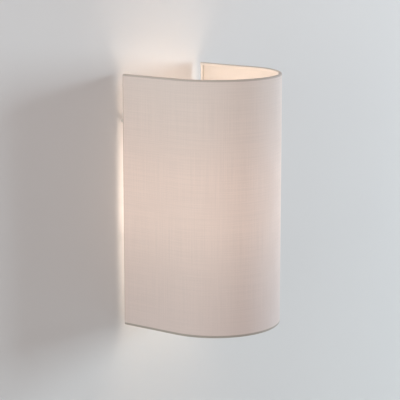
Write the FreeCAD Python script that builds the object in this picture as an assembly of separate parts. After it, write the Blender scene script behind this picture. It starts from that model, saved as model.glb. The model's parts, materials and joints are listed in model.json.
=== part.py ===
# Wall light with a U-shaped fabric shade, open at the top, the bottom and the back.
#
# A flat steel back plate is screwed to the wall. An arm on it carries an upright lampholder
# with a screw-in bulb. The shade hangs by two cross rungs in four hooks of the back plate and
# lifts straight up off them.
#
# Frame: millimetres, +Z up, the wall is the plane y = 0 and the light stands on its -Y side.
# The origin is on the wall, on the light's middle plane, at the shade's mid-height.
import FreeCAD, Part
import math
import os

V = FreeCAD.Vector
X_AXIS = V(1, 0, 0)
Y_AXIS = V(0, 1, 0)
Z_AXIS = V(0, 0, 1)

# ---------------------------------------------------------------- driving dimensions
# Shade
shade_height = 300.0
shade_width = 156.0
shade_flank = 76.0          # straight part of each side, before the half-round front
wall_gap = 6.5              # between the shade's back edges and the wall
fabric_thickness = 0.5
lining_thickness = 0.5
hem_thickness = 0.5
frame_wire_diameter = 3.0   # the two rings and the two uprights
rung_diameter = 4.0
upper_rung_drop = 55.0      # below the shade's top edge
lower_rung_rise = 10.0      # above the terminal cover
wrap_clearance = 0.05       # between a wire and the cloth or lining round it

# Back plate and its hooks
plate_width = 100.0
plate_thickness = 1.5
plate_top_drop = 38.0       # below the shade's top edge
plate_foot_margin = 4.0     # below the arm's foot
plate_corner_radius = 6.0
hook_spacing = 72.0
hook_thickness = 1.5
hook_lip = 1.7              # metal left round a hook's notch
hook_horn = 6.0             # height of a hook above the rung's centre
hook_clearance = 0.3
hook_lead_in = 0.7
horn_rounding = 0.8
window_clearance = 0.6      # left round a hook where it was folded out of the plate
wall_hole_diameter = 5.5
wall_hole_spacing_z = 150.0
wall_hole_edge = 8.0        # from a hole's centre to the plate's side

# Arm
arm_width = 36.0
arm_thickness = 2.0
arm_bend_radius = 2.0       # inside the bend
arm_foot_height = 28.0
arm_tip_radius = 18.0
arm_slot_length = 7.0       # the way of the wires through the arm, along the arm
arm_slot_margin = 2.2       # beside the outer wires

# Studs, nuts and washers
stud_diameter = 4.0
stud_clearance = 0.05
arm_stud_spacing = 18.0
arm_stud_drop = 8.0         # below the arm
earth_stud_drop = 19.5      # below the arm
stud_stick_out = 1.5        # past its nut
nut_across_flats = 7.0
nut_height = 3.2
washer_diameter = 9.0
washer_thickness = 0.8
tag_barrel_wall = 0.5
tag_barrel_length = 5.0
tag_palm_margin = 1.0

# Terminal block
pole_pitch = 8.0
pole_count = 3
block_end_wall = 5.0        # from an outer pole's centre to the block's end
block_height = 20.0
block_depth = 18.5
block_groove_width = 1.6
block_groove_depth = 4.0
clamp_diameter = 4.4
clamp_bore = 2.4
clamp_length = 17.0
clamp_front_depth = 7.0     # from the block's front to the clamps' centres
clamp_screw_diameter = 2.2
clamp_screw_head = 3.1
clamp_screw_head_height = 1.6
clamp_screw_recess = 0.7
clamp_screw_spacing = 10.0
small_clearance = 0.05
block_screw_diameter = 2.4
block_screw_head = 4.2
block_screw_head_height = 1.6
block_screw_seat = 8.0      # from the plate to the head's seat

# Terminal cover
cover_width = 44.0
cover_height = 52.0
cover_depth = 26.0
cover_wall = 1.5
cover_corner_radius = 4.0
cover_arm_gap = 4.0         # between the arm and the cover
cover_block_gap = 2.5       # between the cover's lower wall and the block
cover_tab_length = 10.0
cover_tab_height = 14.0
cover_tab_thickness = 2.0
cover_screw_diameter = 3.0
cover_screw_head = 5.6
cover_screw_head_height = 2.0
cover_screw_clearance = 0.15

# Cable entry
entry_bore = 8.0
entry_sleeve_wall = 2.0
entry_flange_diameter = 17.0
entry_flange_thickness = 2.5
entry_block_gap = 14.0      # from the block's top to the entry's centre

# Wires
wire_diameter = 1.8
wire_bore_gap = 1.4         # half the distance between the two wires in the nipple
wire_drop = 3.0             # how far the lamp wires hang below their clip before they bend forward
wire_loop_reach = 22.5      # from the lamp's axis to where the wires leave the arm
wire_bend_room = 4.0        # below the lampholder's core
core_wire_cover = 2.0       # left over a wire's end in the core
wire_loop_drop = 17.0       # how far they drop below the arm under the nipple
bend_share = 0.45           # of the shorter run, taken up by a bend
clip_reach = 42.0           # from the wall to the wire clip
clip_width = 9.0
clip_length = 7.0
clip_height = 4.4
clip_rounding = 1.5
clip_stem_diameter = 3.0
clip_head_diameter = 4.4
clip_head_height = 1.4

# Nipple under the lampholder
nipple_diameter = 10.0
nipple_bore = 7.0
nipple_below_arm = 6.0
nipple_above_arm = 6.0
nipple_nut_flats = 14.0
nipple_nut_height = 3.0
nipple_washer_diameter = 17.0
nipple_washer_thickness = 1.0

# Lampholder
holder_height = 55.0
holder_radius = 19.0
holder_base_radius = 12.0
holder_wall = 2.0
holder_cap_height = 24.0
holder_shoulder = 12.0      # height of the cap's rounded part
holder_floor = 3.0
core_height = 10.0
core_boss_height = 3.0
core_clearance = 0.5
skirt_bore_radius = 15.2
skirt_lip = 1.0
thread_sleeve_wall = 0.5
thread_sleeve_height = 22.0
thread_clearance = 0.1
core_wire_offset = 9.0
contact_thickness = 0.7
contact_gap = 0.3
contact_width = 5.0
contact_length = 14.0
side_contact_height = 8.0
side_contact_thickness = 0.4
core_screw_diameter = 2.4
core_screw_head = 4.4
core_screw_head_height = 1.5

# Bulb
bulb_length = 108.0
globe_diameter = 60.0
globe_wall = 1.2
globe_centre_z = 0.0        # at the shade's mid-height
flare_hollow = 1.8          # how far the collar's flare draws in from a straight line
collar_top_drop = 14.0      # below the globe's centre
collar_wall = 1.5
neck_radius = 14.0
cap_radius = 13.0           # crest of the cap's thread
cap_wall = 0.4
cap_length = 25.0           # from the contact's tip to the cap's upper edge
cap_taper = 3.0
insulator_height = 2.5
insulator_radius = 10.4
insulator_low_radius = 5.6
tip_radius = 4.6
tip_height = 2.0
led_board_thickness = 1.5
led_board_clearance = 0.4
led_size = 2.8
led_height = 0.7
led_count = 12
led_ring_radius = 15.0
driver_board_width = 18.0
driver_board_thickness = 1.6
driver_board_height = 34.0

# ---------------------------------------------------------------- derived places
top_z = shade_height / 2
bottom_z = -shade_height / 2
shade_back_y = -wall_gap
nose_radius = shade_width / 2
nose_y = shade_back_y - shade_flank
lamp_y = nose_y

wire_radius = frame_wire_diameter / 2
rung_radius = rung_diameter / 2
lining_inset = fabric_thickness
washer_bore = stud_diameter + 2 * stud_clearance
wire_side_inset = fabric_thickness + lining_thickness + wrap_clearance
wire_inset = wire_side_inset + wire_radius
hem_leg_inset = wire_inset + wire_radius + wrap_clearance
hem_inset = hem_leg_inset + hem_thickness
wire_end_inset = hem_thickness + wrap_clearance
ring_drop = wire_end_inset + wire_radius
hem_depth = wire_end_inset + frame_wire_diameter
upright_x = nose_radius - wire_inset
upright_y = shade_back_y - ring_drop
upright_front_y = upright_y - wire_radius
upper_rung_y = upright_y + wire_radius + rung_radius
lower_rung_y = upright_front_y - rung_radius

plate_front_y = -plate_thickness
tip_z = globe_centre_z + globe_diameter / 2 - bulb_length
holder_tip_rise = holder_cap_height + core_boss_height + contact_thickness + contact_gap
holder_base_z = tip_z - holder_tip_rise
arm_top_z = holder_base_z
arm_bottom_z = arm_top_z - arm_thickness
arm_front_y = plate_front_y - arm_thickness
foot_bottom_z = arm_bottom_z - arm_foot_height
cover_bottom_z = arm_top_z + cover_arm_gap
cover_top_z = cover_bottom_z + cover_height
cover_middle_z = (cover_bottom_z + cover_top_z) / 2
lower_rung_z = cover_top_z + lower_rung_rise
upper_rung_z = top_z - upper_rung_drop
plate_top_z = top_z - plate_top_drop
plate_bottom_z = foot_bottom_z - plate_foot_margin
wall_hole_x = plate_width / 2 - wall_hole_edge

block_bottom_z = cover_bottom_z + cover_wall + cover_block_gap
block_top_z = block_bottom_z + block_height
block_middle_z = (block_bottom_z + block_top_z) / 2
block_front_y = plate_front_y - block_depth
block_half_length = pole_pitch * (pole_count - 1) / 2 + block_end_wall
pole_xs = [pole_pitch * (i - (pole_count - 1) / 2) for i in range(pole_count)]
clamp_y = block_front_y + clamp_front_depth
clamp_screw_zs = [block_middle_z + side * clamp_screw_spacing / 2 for side in (-1, 1)]
entry_z = block_top_z + entry_block_gap
cover_tab_x = cover_width / 2 + cover_tab_length / 2

thread_sleeve_bore = cap_radius + thread_clearance
cap_top_z = tip_z + cap_length
globe_radius = globe_diameter / 2
collar_top_z = globe_centre_z - collar_top_drop
collar_top_radius = math.sqrt(globe_radius ** 2 - collar_top_drop ** 2)
thread_sleeve_top = holder_base_z + holder_cap_height + core_boss_height + thread_sleeve_height
engaged_thread = thread_sleeve_top - (tip_z + tip_height + insulator_height + cap_taper)
core_bottom_z = holder_base_z + holder_cap_height - core_height

sheath_radius = wire_diameter / 2   # of an insulated wire
clip_wire_z = arm_bottom_z - clip_height / 2
tag_barrel_radius = sheath_radius + tag_barrel_wall
tag_barrel_y = arm_front_y - tag_barrel_radius
tag_barrel_z = arm_bottom_z - earth_stud_drop + washer_diameter / 2 + tag_palm_margin


# ---------------------------------------------------------------- shapes used throughout
def box(x_range, y_range, z_range):
    """A block between two values on each axis."""
    low = V(min(x_range), min(y_range), min(z_range))
    high = V(max(x_range), max(y_range), max(z_range))
    size = high - low
    return Part.makeBox(size.x, size.y, size.z, low)


def rod(start, end, radius):
    """A round bar from one point to another."""
    run = end - start
    return Part.makeCylinder(radius, run.Length, start, run)


def along_y(x, z, y_from, y_to, radius):
    """A round bar or hole square to the wall."""
    return rod(V(x, y_from, z), V(x, y_to, z), radius)


def upright_rod(x, y, z_range, radius):
    """An upright round bar or hole between two heights."""
    return rod(V(x, y, z_range[0]), V(x, y, z_range[1]), radius)


def edges_along_y(shape):
    """The straight edges of a shape that run square to the wall."""
    return [e for e in shape.Edges if abs(e.tangentAt(e.FirstParameter).y) > 0.9]


def hexagon(centre, across_flats, height, axis):
    """A hexagonal prism whose base is centred on a point."""
    corner = across_flats / math.sqrt(3)
    side = Y_AXIS if abs(axis.z) > 0.5 else X_AXIS
    other = axis.cross(side)
    turns = [math.radians(60 * i) for i in range(7)]
    points = [centre + side * (corner * math.cos(t)) + other * (corner * math.sin(t)) for t in turns]
    return Part.Face(Part.makePolygon(points)).extrude(axis * height)


def turned(profile):
    """A solid turned on the lamp's upright axis from (radius, z) points."""
    points = [V(r, lamp_y, z) for r, z in profile]
    face = Part.Face(Part.makePolygon(points + points[:1]))
    return face.revolve(V(0, lamp_y, 0), Z_AXIS, 360)


def turned_edges(edges):
    """A solid turned on the lamp's upright axis from a closed chain of edges."""
    return Part.Face(Part.Wire(edges)).revolve(V(0, lamp_y, 0), Z_AXIS, 360)


def line(a, b):
    """A straight edge."""
    return Part.LineSegment(a, b).toShape()


def arc(a, middle, b):
    """A round edge through three points."""
    return Part.Arc(a, middle, b).toShape()


def joined(shapes):
    """One solid from touching shapes."""
    first, rest = shapes[0], shapes[1:]
    return first.fuse(rest).removeSplitter() if rest else first


def group(shapes):
    """Separate solids held in one node."""
    return Part.makeCompound(shapes)


def u_outline(inset, back_y):
    """The shade's plan, moved inwards: side, half-round front, side, closed along the back."""
    half = nose_radius - inset
    right_back, right_nose = V(half, back_y, 0), V(half, nose_y, 0)
    left_back, left_nose = V(-half, back_y, 0), V(-half, nose_y, 0)
    front = V(0, nose_y - half, 0)
    edges = [line(right_back, right_nose), arc(right_nose, front, left_nose)]
    return Part.Wire(edges + [line(left_nose, left_back), line(left_back, right_back)])


def u_band(outer_inset, inner_inset, back_y, z_range):
    """A wall of constant thickness along the shade's plan, open at the back."""
    low, high = z_range
    outer = Part.Face(u_outline(outer_inset, back_y)).extrude(V(0, 0, high - low))
    inner = Part.Face(u_outline(inner_inset, back_y + nose_radius)).extrude(V(0, 0, high - low))
    band = outer.cut(inner)
    band.translate(V(0, 0, low))
    return band


def bent_bar(points, radius):
    """A round bar along straight runs with a tangent bend at each inner point."""
    edges = []
    start = points[0]
    for before, corner, after in zip(points, points[1:], points[2:]):
        run_in, run_out = corner - before, after - corner
        half_turn = run_in.getAngle(run_out) / 2
        reach = bend_share * min(run_in.Length, run_out.Length)
        bend_radius = reach / math.tan(half_turn)
        run_in.normalize()
        run_out.normalize()
        first, last = corner - run_in * reach, corner + run_out * reach
        inward = run_out - run_in
        inward.normalize()
        middle = corner + inward * (bend_radius / math.cos(half_turn) - bend_radius)
        edges += [line(start, first), arc(first, middle, last)]
        start = last
    edges.append(line(start, points[-1]))
    path = Part.Wire(edges)
    section = Part.Wire(Part.makeCircle(radius, points[0], points[1] - points[0]))
    return path.makePipeShell([section], True, False)


# ---------------------------------------------------------------- shade
def frame_ring(z):
    """One U of the shade's wire frame, from upright to upright."""
    half = nose_radius - wire_inset
    bend = Part.Face(Part.Wire(Part.makeCircle(wire_radius, V(half, nose_y, z), Y_AXIS)))
    bend = bend.revolve(V(0, nose_y, z), Z_AXIS, -180)
    sides = [rod(V(x, upright_front_y, z), V(x, nose_y, z), wire_radius) for x in (-half, half)]
    return joined([sides[0], bend, sides[1]])


def rim_hem(edge_z, inward):
    """Cloth turned over a rim: it lies over the lining and the ring and down inside the ring."""
    fold_z = edge_z + inward * hem_thickness
    end_z = edge_z + inward * hem_depth
    top = u_band(fabric_thickness, hem_inset, shade_back_y, sorted((edge_z, fold_z)))
    leg = u_band(hem_leg_inset, hem_inset, shade_back_y, sorted((fold_z, end_z)))
    return joined([top, leg])


def side_hem(side):
    """Cloth turned round an upright at one back edge, between the rim hems."""
    z_range = (bottom_z + hem_depth, top_z - hem_depth)
    outer_x, inner_x = nose_radius - fabric_thickness, nose_radius - hem_inset
    leg_x = nose_radius - hem_leg_inset
    fold_y = shade_back_y - hem_thickness
    fold = box((side * outer_x, side * inner_x), (shade_back_y, fold_y), z_range)
    leg = box((side * leg_x, side * inner_x), (fold_y, upright_front_y), z_range)
    notch_half = rung_radius + hem_thickness
    notch_z = (upper_rung_z - notch_half, upper_rung_z + notch_half)
    notch_y = (shade_back_y, upright_y + wire_radius)
    notch = box((side * outer_x, side * inner_x), notch_y, notch_z)
    return joined([fold, leg]).cut(notch)


def shade_nodes():
    """The lined cloth wall, its hems and the wire frame inside them."""
    inner_z = (bottom_z + hem_thickness, top_z - hem_thickness)
    lining_back_y = shade_back_y - hem_thickness
    cloth_inner = fabric_thickness + lining_thickness
    rung_end = upright_x + wire_radius
    nodes = {
        "shade_fabric": u_band(0, fabric_thickness, shade_back_y, (bottom_z, top_z)),
        "shade_lining": u_band(lining_inset, cloth_inner, lining_back_y, inner_z),
        "top_hem": rim_hem(top_z, -1),
        "bottom_hem": rim_hem(bottom_z, 1),
        "left_side_hem": side_hem(-1),
        "right_side_hem": side_hem(1),
        "top_ring_wire": frame_ring(top_z - ring_drop),
        "bottom_ring_wire": frame_ring(bottom_z + ring_drop),
    }
    for name, side in (("left_upright", -1), ("right_upright", 1)):
        foot = V(side * upright_x, upright_y, bottom_z + wire_end_inset)
        head = V(side * upright_x, upright_y, top_z - wire_end_inset)
        nodes[name] = rod(foot, head, wire_radius)
    rungs = {"upper_rung": (upper_rung_y, upper_rung_z), "lower_rung": (lower_rung_y, lower_rung_z)}
    for name, (y, z) in rungs.items():
        nodes[name] = rod(V(-rung_end, y, z), V(rung_end, y, z), rung_radius)
    return nodes


# ---------------------------------------------------------------- back plate
def hook(side, rung_y, rung_z):
    """A lug folded forward out of the plate, with a notch that is open at the top."""
    notch = rung_radius + hook_clearance
    x_range = (side * hook_spacing / 2, side * (hook_spacing / 2 + hook_thickness))
    tip_y = rung_y - notch - hook_lip
    foot_z = rung_z - notch - hook_lip
    horn_z = rung_z + hook_horn
    blank = box(x_range, (0, tip_y), (foot_z, horn_z))
    blank = blank.makeFillet(hook_lip, [e for e in blank.Edges if is_edge_at(e, tip_y, foot_z)])
    blank = blank.makeFillet(horn_rounding, [e for e in blank.Edges if is_edge_at(e, tip_y, horn_z)])
    round_end = rod(V(x_range[0], rung_y, rung_z), V(x_range[1], rung_y, rung_z), notch)
    slot = box(x_range, (rung_y - notch, rung_y + notch), (rung_z, horn_z))
    flare_z = horn_z - hook_lead_in
    mouth = [V(x_range[0], rung_y - notch, flare_z), V(x_range[0], rung_y - notch - hook_lead_in, horn_z),
             V(x_range[0], rung_y + notch, horn_z), V(x_range[0], rung_y + notch, flare_z)]
    lead_in = Part.Face(Part.makePolygon(mouth + mouth[:1])).extrude(V(x_range[1] - x_range[0], 0, 0))
    return blank.cut([round_end, slot, lead_in])


def is_edge_at(edge, y, z):
    """True for an edge along X at the given y and z."""
    ends = [v.Point for v in edge.Vertexes]
    return len(ends) == 2 and all(abs(p.y - y) < 1e-6 and abs(p.z - z) < 1e-6 for p in ends)


def hook_window(side, rung_y, rung_z):
    """The opening that a hook leaves in the plate when it is folded out."""
    notch = rung_radius + hook_clearance
    depth = -(rung_y - notch - hook_lip)
    inner_x = side * (hook_spacing / 2 - depth)
    z_range = (rung_z - notch - hook_lip - window_clearance, rung_z + hook_horn + window_clearance)
    return box((inner_x, side * hook_spacing / 2), (0, plate_front_y), z_range)


def back_plate():
    """The flat plate with its hooks, wall holes, stud holes and cable entry."""
    half = plate_width / 2
    plate = box((-half, half), (0, plate_front_y), (plate_bottom_z, plate_top_z))
    plate = plate.makeFillet(plate_corner_radius, edges_along_y(plate))
    rungs = ((upper_rung_y, upper_rung_z), (lower_rung_y, lower_rung_z))
    places = [(side, y, z) for side in (-1, 1) for y, z in rungs]
    plate = plate.cut([hook_window(*place) for place in places])
    plate = joined([plate] + [hook(*place) for place in places])
    wall_holes = [(x, z, wall_hole_diameter / 2) for x in (-wall_hole_x, wall_hole_x)
                  for z in (-wall_hole_spacing_z / 2, wall_hole_spacing_z / 2)]
    stud_holes = [(x, z, stud_diameter / 2) for x, z in stud_places()]
    cover_holes = [(x, cover_middle_z, cover_screw_diameter / 2 + small_clearance)
                   for x in (-cover_tab_x, cover_tab_x)]
    block_holes = [(x, block_middle_z, block_screw_diameter / 2 + small_clearance) for x in block_screw_xs()]
    entry_hole = [(0, entry_z, entry_bore / 2 + entry_sleeve_wall)]
    holes = wall_holes + stud_holes + cover_holes + block_holes + entry_hole
    return plate.cut([along_y(x, z, 0, plate_front_y, r) for x, z, r in holes])


def stud_places():
    """Where the studs stand: two for the arm and one for the earth."""
    arm_stud_z = arm_bottom_z - arm_stud_drop
    pair = [(side * arm_stud_spacing / 2, arm_stud_z) for side in (-1, 1)]
    return pair + [(0, arm_bottom_z - earth_stud_drop)]


def washer(x, z, y_from):
    """A flat washer on a stud square to the wall."""
    ring = along_y(x, z, y_from, y_from - washer_thickness, washer_diameter / 2)
    return ring.cut(along_y(x, z, y_from, y_from - washer_thickness, washer_bore / 2))


def stud_nut(x, z, y_from):
    """A hexagon nut on a stud square to the wall."""
    nut = hexagon(V(x, y_from, z), nut_across_flats, nut_height, -Y_AXIS)
    return nut.cut(along_y(x, z, y_from, y_from - nut_height, stud_diameter / 2 + stud_clearance))


def wall_side_nodes():
    """Plate, studs, nuts and washers."""
    *arm_places, earth_place = stud_places()
    arm_nut_y = arm_front_y - washer_thickness
    arm_stud_end = arm_nut_y - nut_height - stud_stick_out
    earth_washer_y = arm_front_y - washer_thickness
    earth_nut_y = earth_washer_y - washer_thickness
    earth_stud_end = earth_nut_y - nut_height - stud_stick_out
    return {
        "back_plate": back_plate(),
        "arm_studs": group([along_y(x, z, 0, arm_stud_end, stud_diameter / 2) for x, z in arm_places]),
        "arm_washers": group([washer(x, z, arm_front_y) for x, z in arm_places]),
        "arm_nuts": group([stud_nut(x, z, arm_nut_y) for x, z in arm_places]),
        "earth_stud": along_y(*earth_place, 0, earth_stud_end, stud_diameter / 2),
        "earth_tag": earth_tag(*earth_place),
        "earth_washer": washer(*earth_place, earth_washer_y),
        "earth_nut": stud_nut(*earth_place, earth_nut_y),
    }


def earth_tag(x, z):
    """A ring tag on the earth stud whose barrel grips the end of the earth wire."""
    ring = washer(x, z, arm_front_y)
    back_y = arm_front_y - washer_thickness
    palm_z = (z + washer_bore / 2 + tag_palm_margin, tag_barrel_z + tag_palm_margin)
    palm = box((x - tag_barrel_radius, x + tag_barrel_radius), (arm_front_y, back_y), palm_z)
    foot, head = V(x, tag_barrel_y, tag_barrel_z), V(x, tag_barrel_y, tag_barrel_z + tag_barrel_length)
    barrel = rod(foot, head, tag_barrel_radius)
    return joined([ring, palm, barrel]).cut(rod(foot, head, sheath_radius + small_clearance))


# ---------------------------------------------------------------- arm
def lamp_arm():
    """A strip folded to an L: its foot on the plate, its round end under the lampholder."""
    half = arm_width / 2
    outer_bend = arm_bend_radius + arm_thickness
    foot = box((-half, half), (plate_front_y, arm_front_y), (foot_bottom_z, arm_top_z))
    strip = box((-half, half), (plate_front_y, lamp_y), (arm_bottom_z, arm_top_z))
    blank = foot.fuse(strip).removeSplitter()
    inside = [e for e in blank.Edges if is_edge_at(e, arm_front_y, arm_bottom_z)]
    blank = blank.makeFillet(arm_bend_radius, inside)
    outside = [e for e in blank.Edges if is_edge_at(e, plate_front_y, arm_top_z)]
    blank = blank.makeFillet(outer_bend, outside)
    tip = rod(V(0, lamp_y, arm_bottom_z), V(0, lamp_y, arm_top_z), arm_tip_radius)
    feet = [e for e in edges_along_y(blank) if abs(e.CenterOfMass.z - foot_bottom_z) < 1e-6]
    blank = joined([blank.makeFillet(arm_bend_radius, feet), tip])
    slot_half = pole_xs[-1] + sheath_radius + arm_slot_margin
    slot_y = (clamp_y + arm_slot_length / 2, clamp_y - arm_slot_length / 2)
    arm_z = (arm_bottom_z, arm_top_z)
    cuts = [box((-slot_half, slot_half), slot_y, arm_z)]
    cuts.append(upright_rod(0, lamp_y, arm_z, nipple_diameter / 2 + small_clearance))
    cuts.append(upright_rod(0, -clip_reach, arm_z, clip_stem_diameter / 2 + small_clearance))
    cuts += [along_y(x, z, plate_front_y, arm_front_y, washer_bore / 2) for x, z in stud_places()]
    return blank.cut(cuts)


def arm_nodes():
    """The arm, and the hollow threaded tube through it with its washer and nut below."""
    washer_z = (arm_bottom_z - nipple_washer_thickness, arm_bottom_z)
    nut_z = (washer_z[0] - nipple_nut_height, washer_z[0])
    tube_z = (arm_bottom_z - nipple_below_arm, arm_top_z + nipple_above_arm)
    bore = nipple_diameter / 2 + small_clearance
    tube = upright_rod(0, lamp_y, tube_z, nipple_diameter / 2)
    ring = upright_rod(0, lamp_y, washer_z, nipple_washer_diameter / 2)
    nut = hexagon(V(0, lamp_y, nut_z[0]), nipple_nut_flats, nipple_nut_height, Z_AXIS)
    return {
        "lamp_arm": lamp_arm(),
        "entry_nipple": tube.cut(upright_rod(0, lamp_y, tube_z, nipple_bore / 2)),
        "nipple_washer": ring.cut(upright_rod(0, lamp_y, washer_z, bore)),
        "nipple_nut": nut.cut(upright_rod(0, lamp_y, nut_z, bore)),
    }


# ---------------------------------------------------------------- terminals and cable entry
def block_screw_xs():
    """The block's fixing screws stand between its poles."""
    return [(a + b) / 2 for a, b in zip(pole_xs, pole_xs[1:])]


def terminal_nodes():
    """The terminal block on the plate, with its clamps and screws."""
    reach = (-block_half_length, block_half_length)
    block_z = (block_bottom_z, block_top_z)
    body = box(reach, (plate_front_y, block_front_y), block_z)
    grooves_y = (block_front_y, block_front_y + block_groove_depth)
    clamp_z = (block_middle_z - clamp_length / 2, block_middle_z + clamp_length / 2)
    head_seat_y = block_front_y + clamp_screw_recess + clamp_screw_head_height
    tip_y = clamp_y - sheath_radius - small_clearance
    seat_y = plate_front_y - block_screw_seat
    screw_bore = clamp_screw_diameter / 2 + small_clearance
    cuts, clamps, screws, fixings = [], [], [], []
    for x in pole_xs:
        cuts.append(upright_rod(x, clamp_y, block_z, clamp_diameter / 2 + small_clearance))
        clamp = upright_rod(x, clamp_y, clamp_z, clamp_diameter / 2)
        clamp = clamp.cut(upright_rod(x, clamp_y, clamp_z, clamp_bore / 2))
        for z in clamp_screw_zs:
            cuts.append(along_y(x, z, block_front_y, clamp_y, clamp_screw_head / 2 + small_clearance))
            clamp = clamp.cut(along_y(x, z, block_front_y, clamp_y, screw_bore))
            head = along_y(x, z, head_seat_y, head_seat_y - clamp_screw_head_height, clamp_screw_head / 2)
            screws.append(joined([head, along_y(x, z, head_seat_y, tip_y, clamp_screw_diameter / 2)]))
        clamps.append(clamp)
    for x in block_screw_xs():
        groove = (x - block_groove_width / 2, x + block_groove_width / 2)
        cuts.append(box(groove, grooves_y, block_z))
        shank_hole = block_screw_diameter / 2 + small_clearance
        head_hole = block_screw_head / 2 + small_clearance
        cuts.append(along_y(x, block_middle_z, plate_front_y, seat_y, shank_hole))
        cuts.append(along_y(x, block_middle_z, seat_y, block_front_y, head_hole))
        shank = along_y(x, block_middle_z, 0, seat_y, block_screw_diameter / 2)
        head = along_y(x, block_middle_z, seat_y, seat_y - block_screw_head_height, block_screw_head / 2)
        fixings.append(joined([shank, head]))
    return {
        "entry_grommet": entry_grommet(),
        "terminal_block": body.cut(cuts),
        "terminal_clamps": group(clamps),
        "terminal_screws": group(screws),
        "block_screws": group(fixings),
    }


def cover_nodes():
    """The moulded cover over the terminals, with a tab and a screw at each side."""
    half = cover_width / 2
    front_y = plate_front_y - cover_depth
    shell = box((-half, half), (plate_front_y, front_y), (cover_bottom_z, cover_top_z))
    shell = shell.makeFillet(cover_corner_radius, edges_along_y(shell))
    rim = [e for e in shell.Edges if abs(e.CenterOfMass.y - front_y) < 1e-6]
    shell = shell.makeFillet(cover_wall, rim)
    hollow_z = (cover_bottom_z + cover_wall, cover_top_z - cover_wall)
    hollow = box((cover_wall - half, half - cover_wall), (plate_front_y, front_y + cover_wall), hollow_z)
    hollow = hollow.makeFillet(cover_corner_radius - cover_wall, edges_along_y(hollow))
    slot_half = pole_xs[-1] + sheath_radius + arm_slot_margin
    slot_y = (clamp_y + arm_slot_length / 2, clamp_y - arm_slot_length / 2)
    way_out = box((-slot_half, slot_half), slot_y, (cover_bottom_z, cover_bottom_z + cover_wall))
    tab_y = (plate_front_y, plate_front_y - cover_tab_thickness)
    tab_z = (cover_middle_z - cover_tab_height / 2, cover_middle_z + cover_tab_height / 2)
    tabs = []
    for side in (-1, 1):
        end_x = side * (half + cover_tab_length)
        tab = box((side * (half - cover_wall / 2), end_x), tab_y, tab_z)
        ends = [e for e in edges_along_y(tab) if abs(e.CenterOfMass.x - end_x) < 1e-6]
        tabs.append(tab.makeFillet(cover_corner_radius, ends))
    tab_hole = cover_screw_diameter / 2 + cover_screw_clearance
    holes = [along_y(x, cover_middle_z, *tab_y, tab_hole) for x in (-cover_tab_x, cover_tab_x)]
    cover = joined([shell.cut(hollow)] + tabs).cut(holes + [way_out, hollow])
    screws = []
    for x in (-cover_tab_x, cover_tab_x):
        shank = along_y(x, cover_middle_z, 0, tab_y[1], cover_screw_diameter / 2)
        head = along_y(x, cover_middle_z, tab_y[1], tab_y[1] - cover_screw_head_height, cover_screw_head / 2)
        screws.append(joined([shank, head]))
    return {"terminal_cover": cover, "cover_screws": group(screws)}


def entry_grommet():
    """A rubber bush in the plate where the supply cable comes out of the wall."""
    sleeve_radius = entry_bore / 2 + entry_sleeve_wall
    flange_y = plate_front_y - entry_flange_thickness
    sleeve = along_y(0, entry_z, 0, plate_front_y, sleeve_radius)
    flange = along_y(0, entry_z, plate_front_y, flange_y, entry_flange_diameter / 2)
    return joined([sleeve, flange]).cut(along_y(0, entry_z, 0, flange_y, entry_bore / 2))


# ---------------------------------------------------------------- wires
def supply_wire(side):
    """A wire from its clamp, through the arm's slot, along the arm and up into the lampholder."""
    x_out, x_in, x_core = side * pole_xs[-1], side * wire_bore_gap, side * core_wire_offset
    points = [
        V(x_out, clamp_y, clamp_screw_zs[0] + clamp_screw_diameter),
        V(x_out, clamp_y, clip_wire_z - wire_drop),
        V(x_in, (clamp_y - clip_reach) / 2, clip_wire_z),
        V(x_in, lamp_y + wire_loop_reach, clip_wire_z),
        V(x_in, lamp_y, arm_bottom_z - wire_loop_drop),
        V(x_in, lamp_y, arm_top_z + nipple_above_arm + wire_diameter),
        V(x_core, lamp_y, core_bottom_z - wire_bend_room),
        V(x_core, lamp_y, core_bottom_z + core_height - core_wire_cover),
    ]
    return bent_bar(points, sheath_radius)


def wire_nodes():
    """The two lamp wires, the earth wire and the clip under the arm."""
    earth_points = [
        V(0, clamp_y, clamp_screw_zs[0] + clamp_screw_diameter),
        V(0, clamp_y, arm_bottom_z - wire_diameter),
        V(0, tag_barrel_y, tag_barrel_z + 2 * tag_barrel_length),
        V(0, tag_barrel_y, tag_barrel_z),
    ]
    return {
        "live_wire": supply_wire(-1),
        "neutral_wire": supply_wire(1),
        "earth_wire": bent_bar(earth_points, sheath_radius),
        "wire_clip": wire_clip(),
    }


def wire_clip():
    """A push-in clip under the arm that holds both lamp wires."""
    near_y, far_y = clip_length / 2 - clip_reach, -clip_length / 2 - clip_reach
    body = box((-clip_width / 2, clip_width / 2), (near_y, far_y), (arm_bottom_z - clip_height, arm_bottom_z))
    lower = [e for e in edges_along_y(body) if e.CenterOfMass.z < clip_wire_z]
    body = body.makeFillet(clip_rounding, lower)
    stem = upright_rod(0, -clip_reach, (arm_bottom_z, arm_top_z), clip_stem_diameter / 2)
    head_foot = V(0, -clip_reach, arm_top_z)
    head = Part.makeCone(clip_head_diameter / 2, clip_stem_diameter / 2, clip_head_height, head_foot)
    bores = [rod(V(x, near_y, clip_wire_z), V(x, far_y, clip_wire_z), sheath_radius + small_clearance)
             for x in (-wire_bore_gap, wire_bore_gap)]
    return joined([body, stem, head]).cut(bores)


# ---------------------------------------------------------------- lampholder
def quarter_bend(low, high):
    """A round edge that leaves (radius, z) low sideways and reaches high upright."""
    (r0, z0), (r1, z1) = low, high
    share = math.sqrt(0.5)
    middle = V(r0 + (r1 - r0) * share, lamp_y, z0 + (z1 - z0) * (1 - share))
    return arc(V(r0, lamp_y, z0), middle, V(r1, lamp_y, z1))


def chain(points):
    """Straight edges through (radius, z) points."""
    places = [V(r, lamp_y, z) for r, z in points]
    return [line(a, b) for a, b in zip(places, places[1:])]


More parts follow.
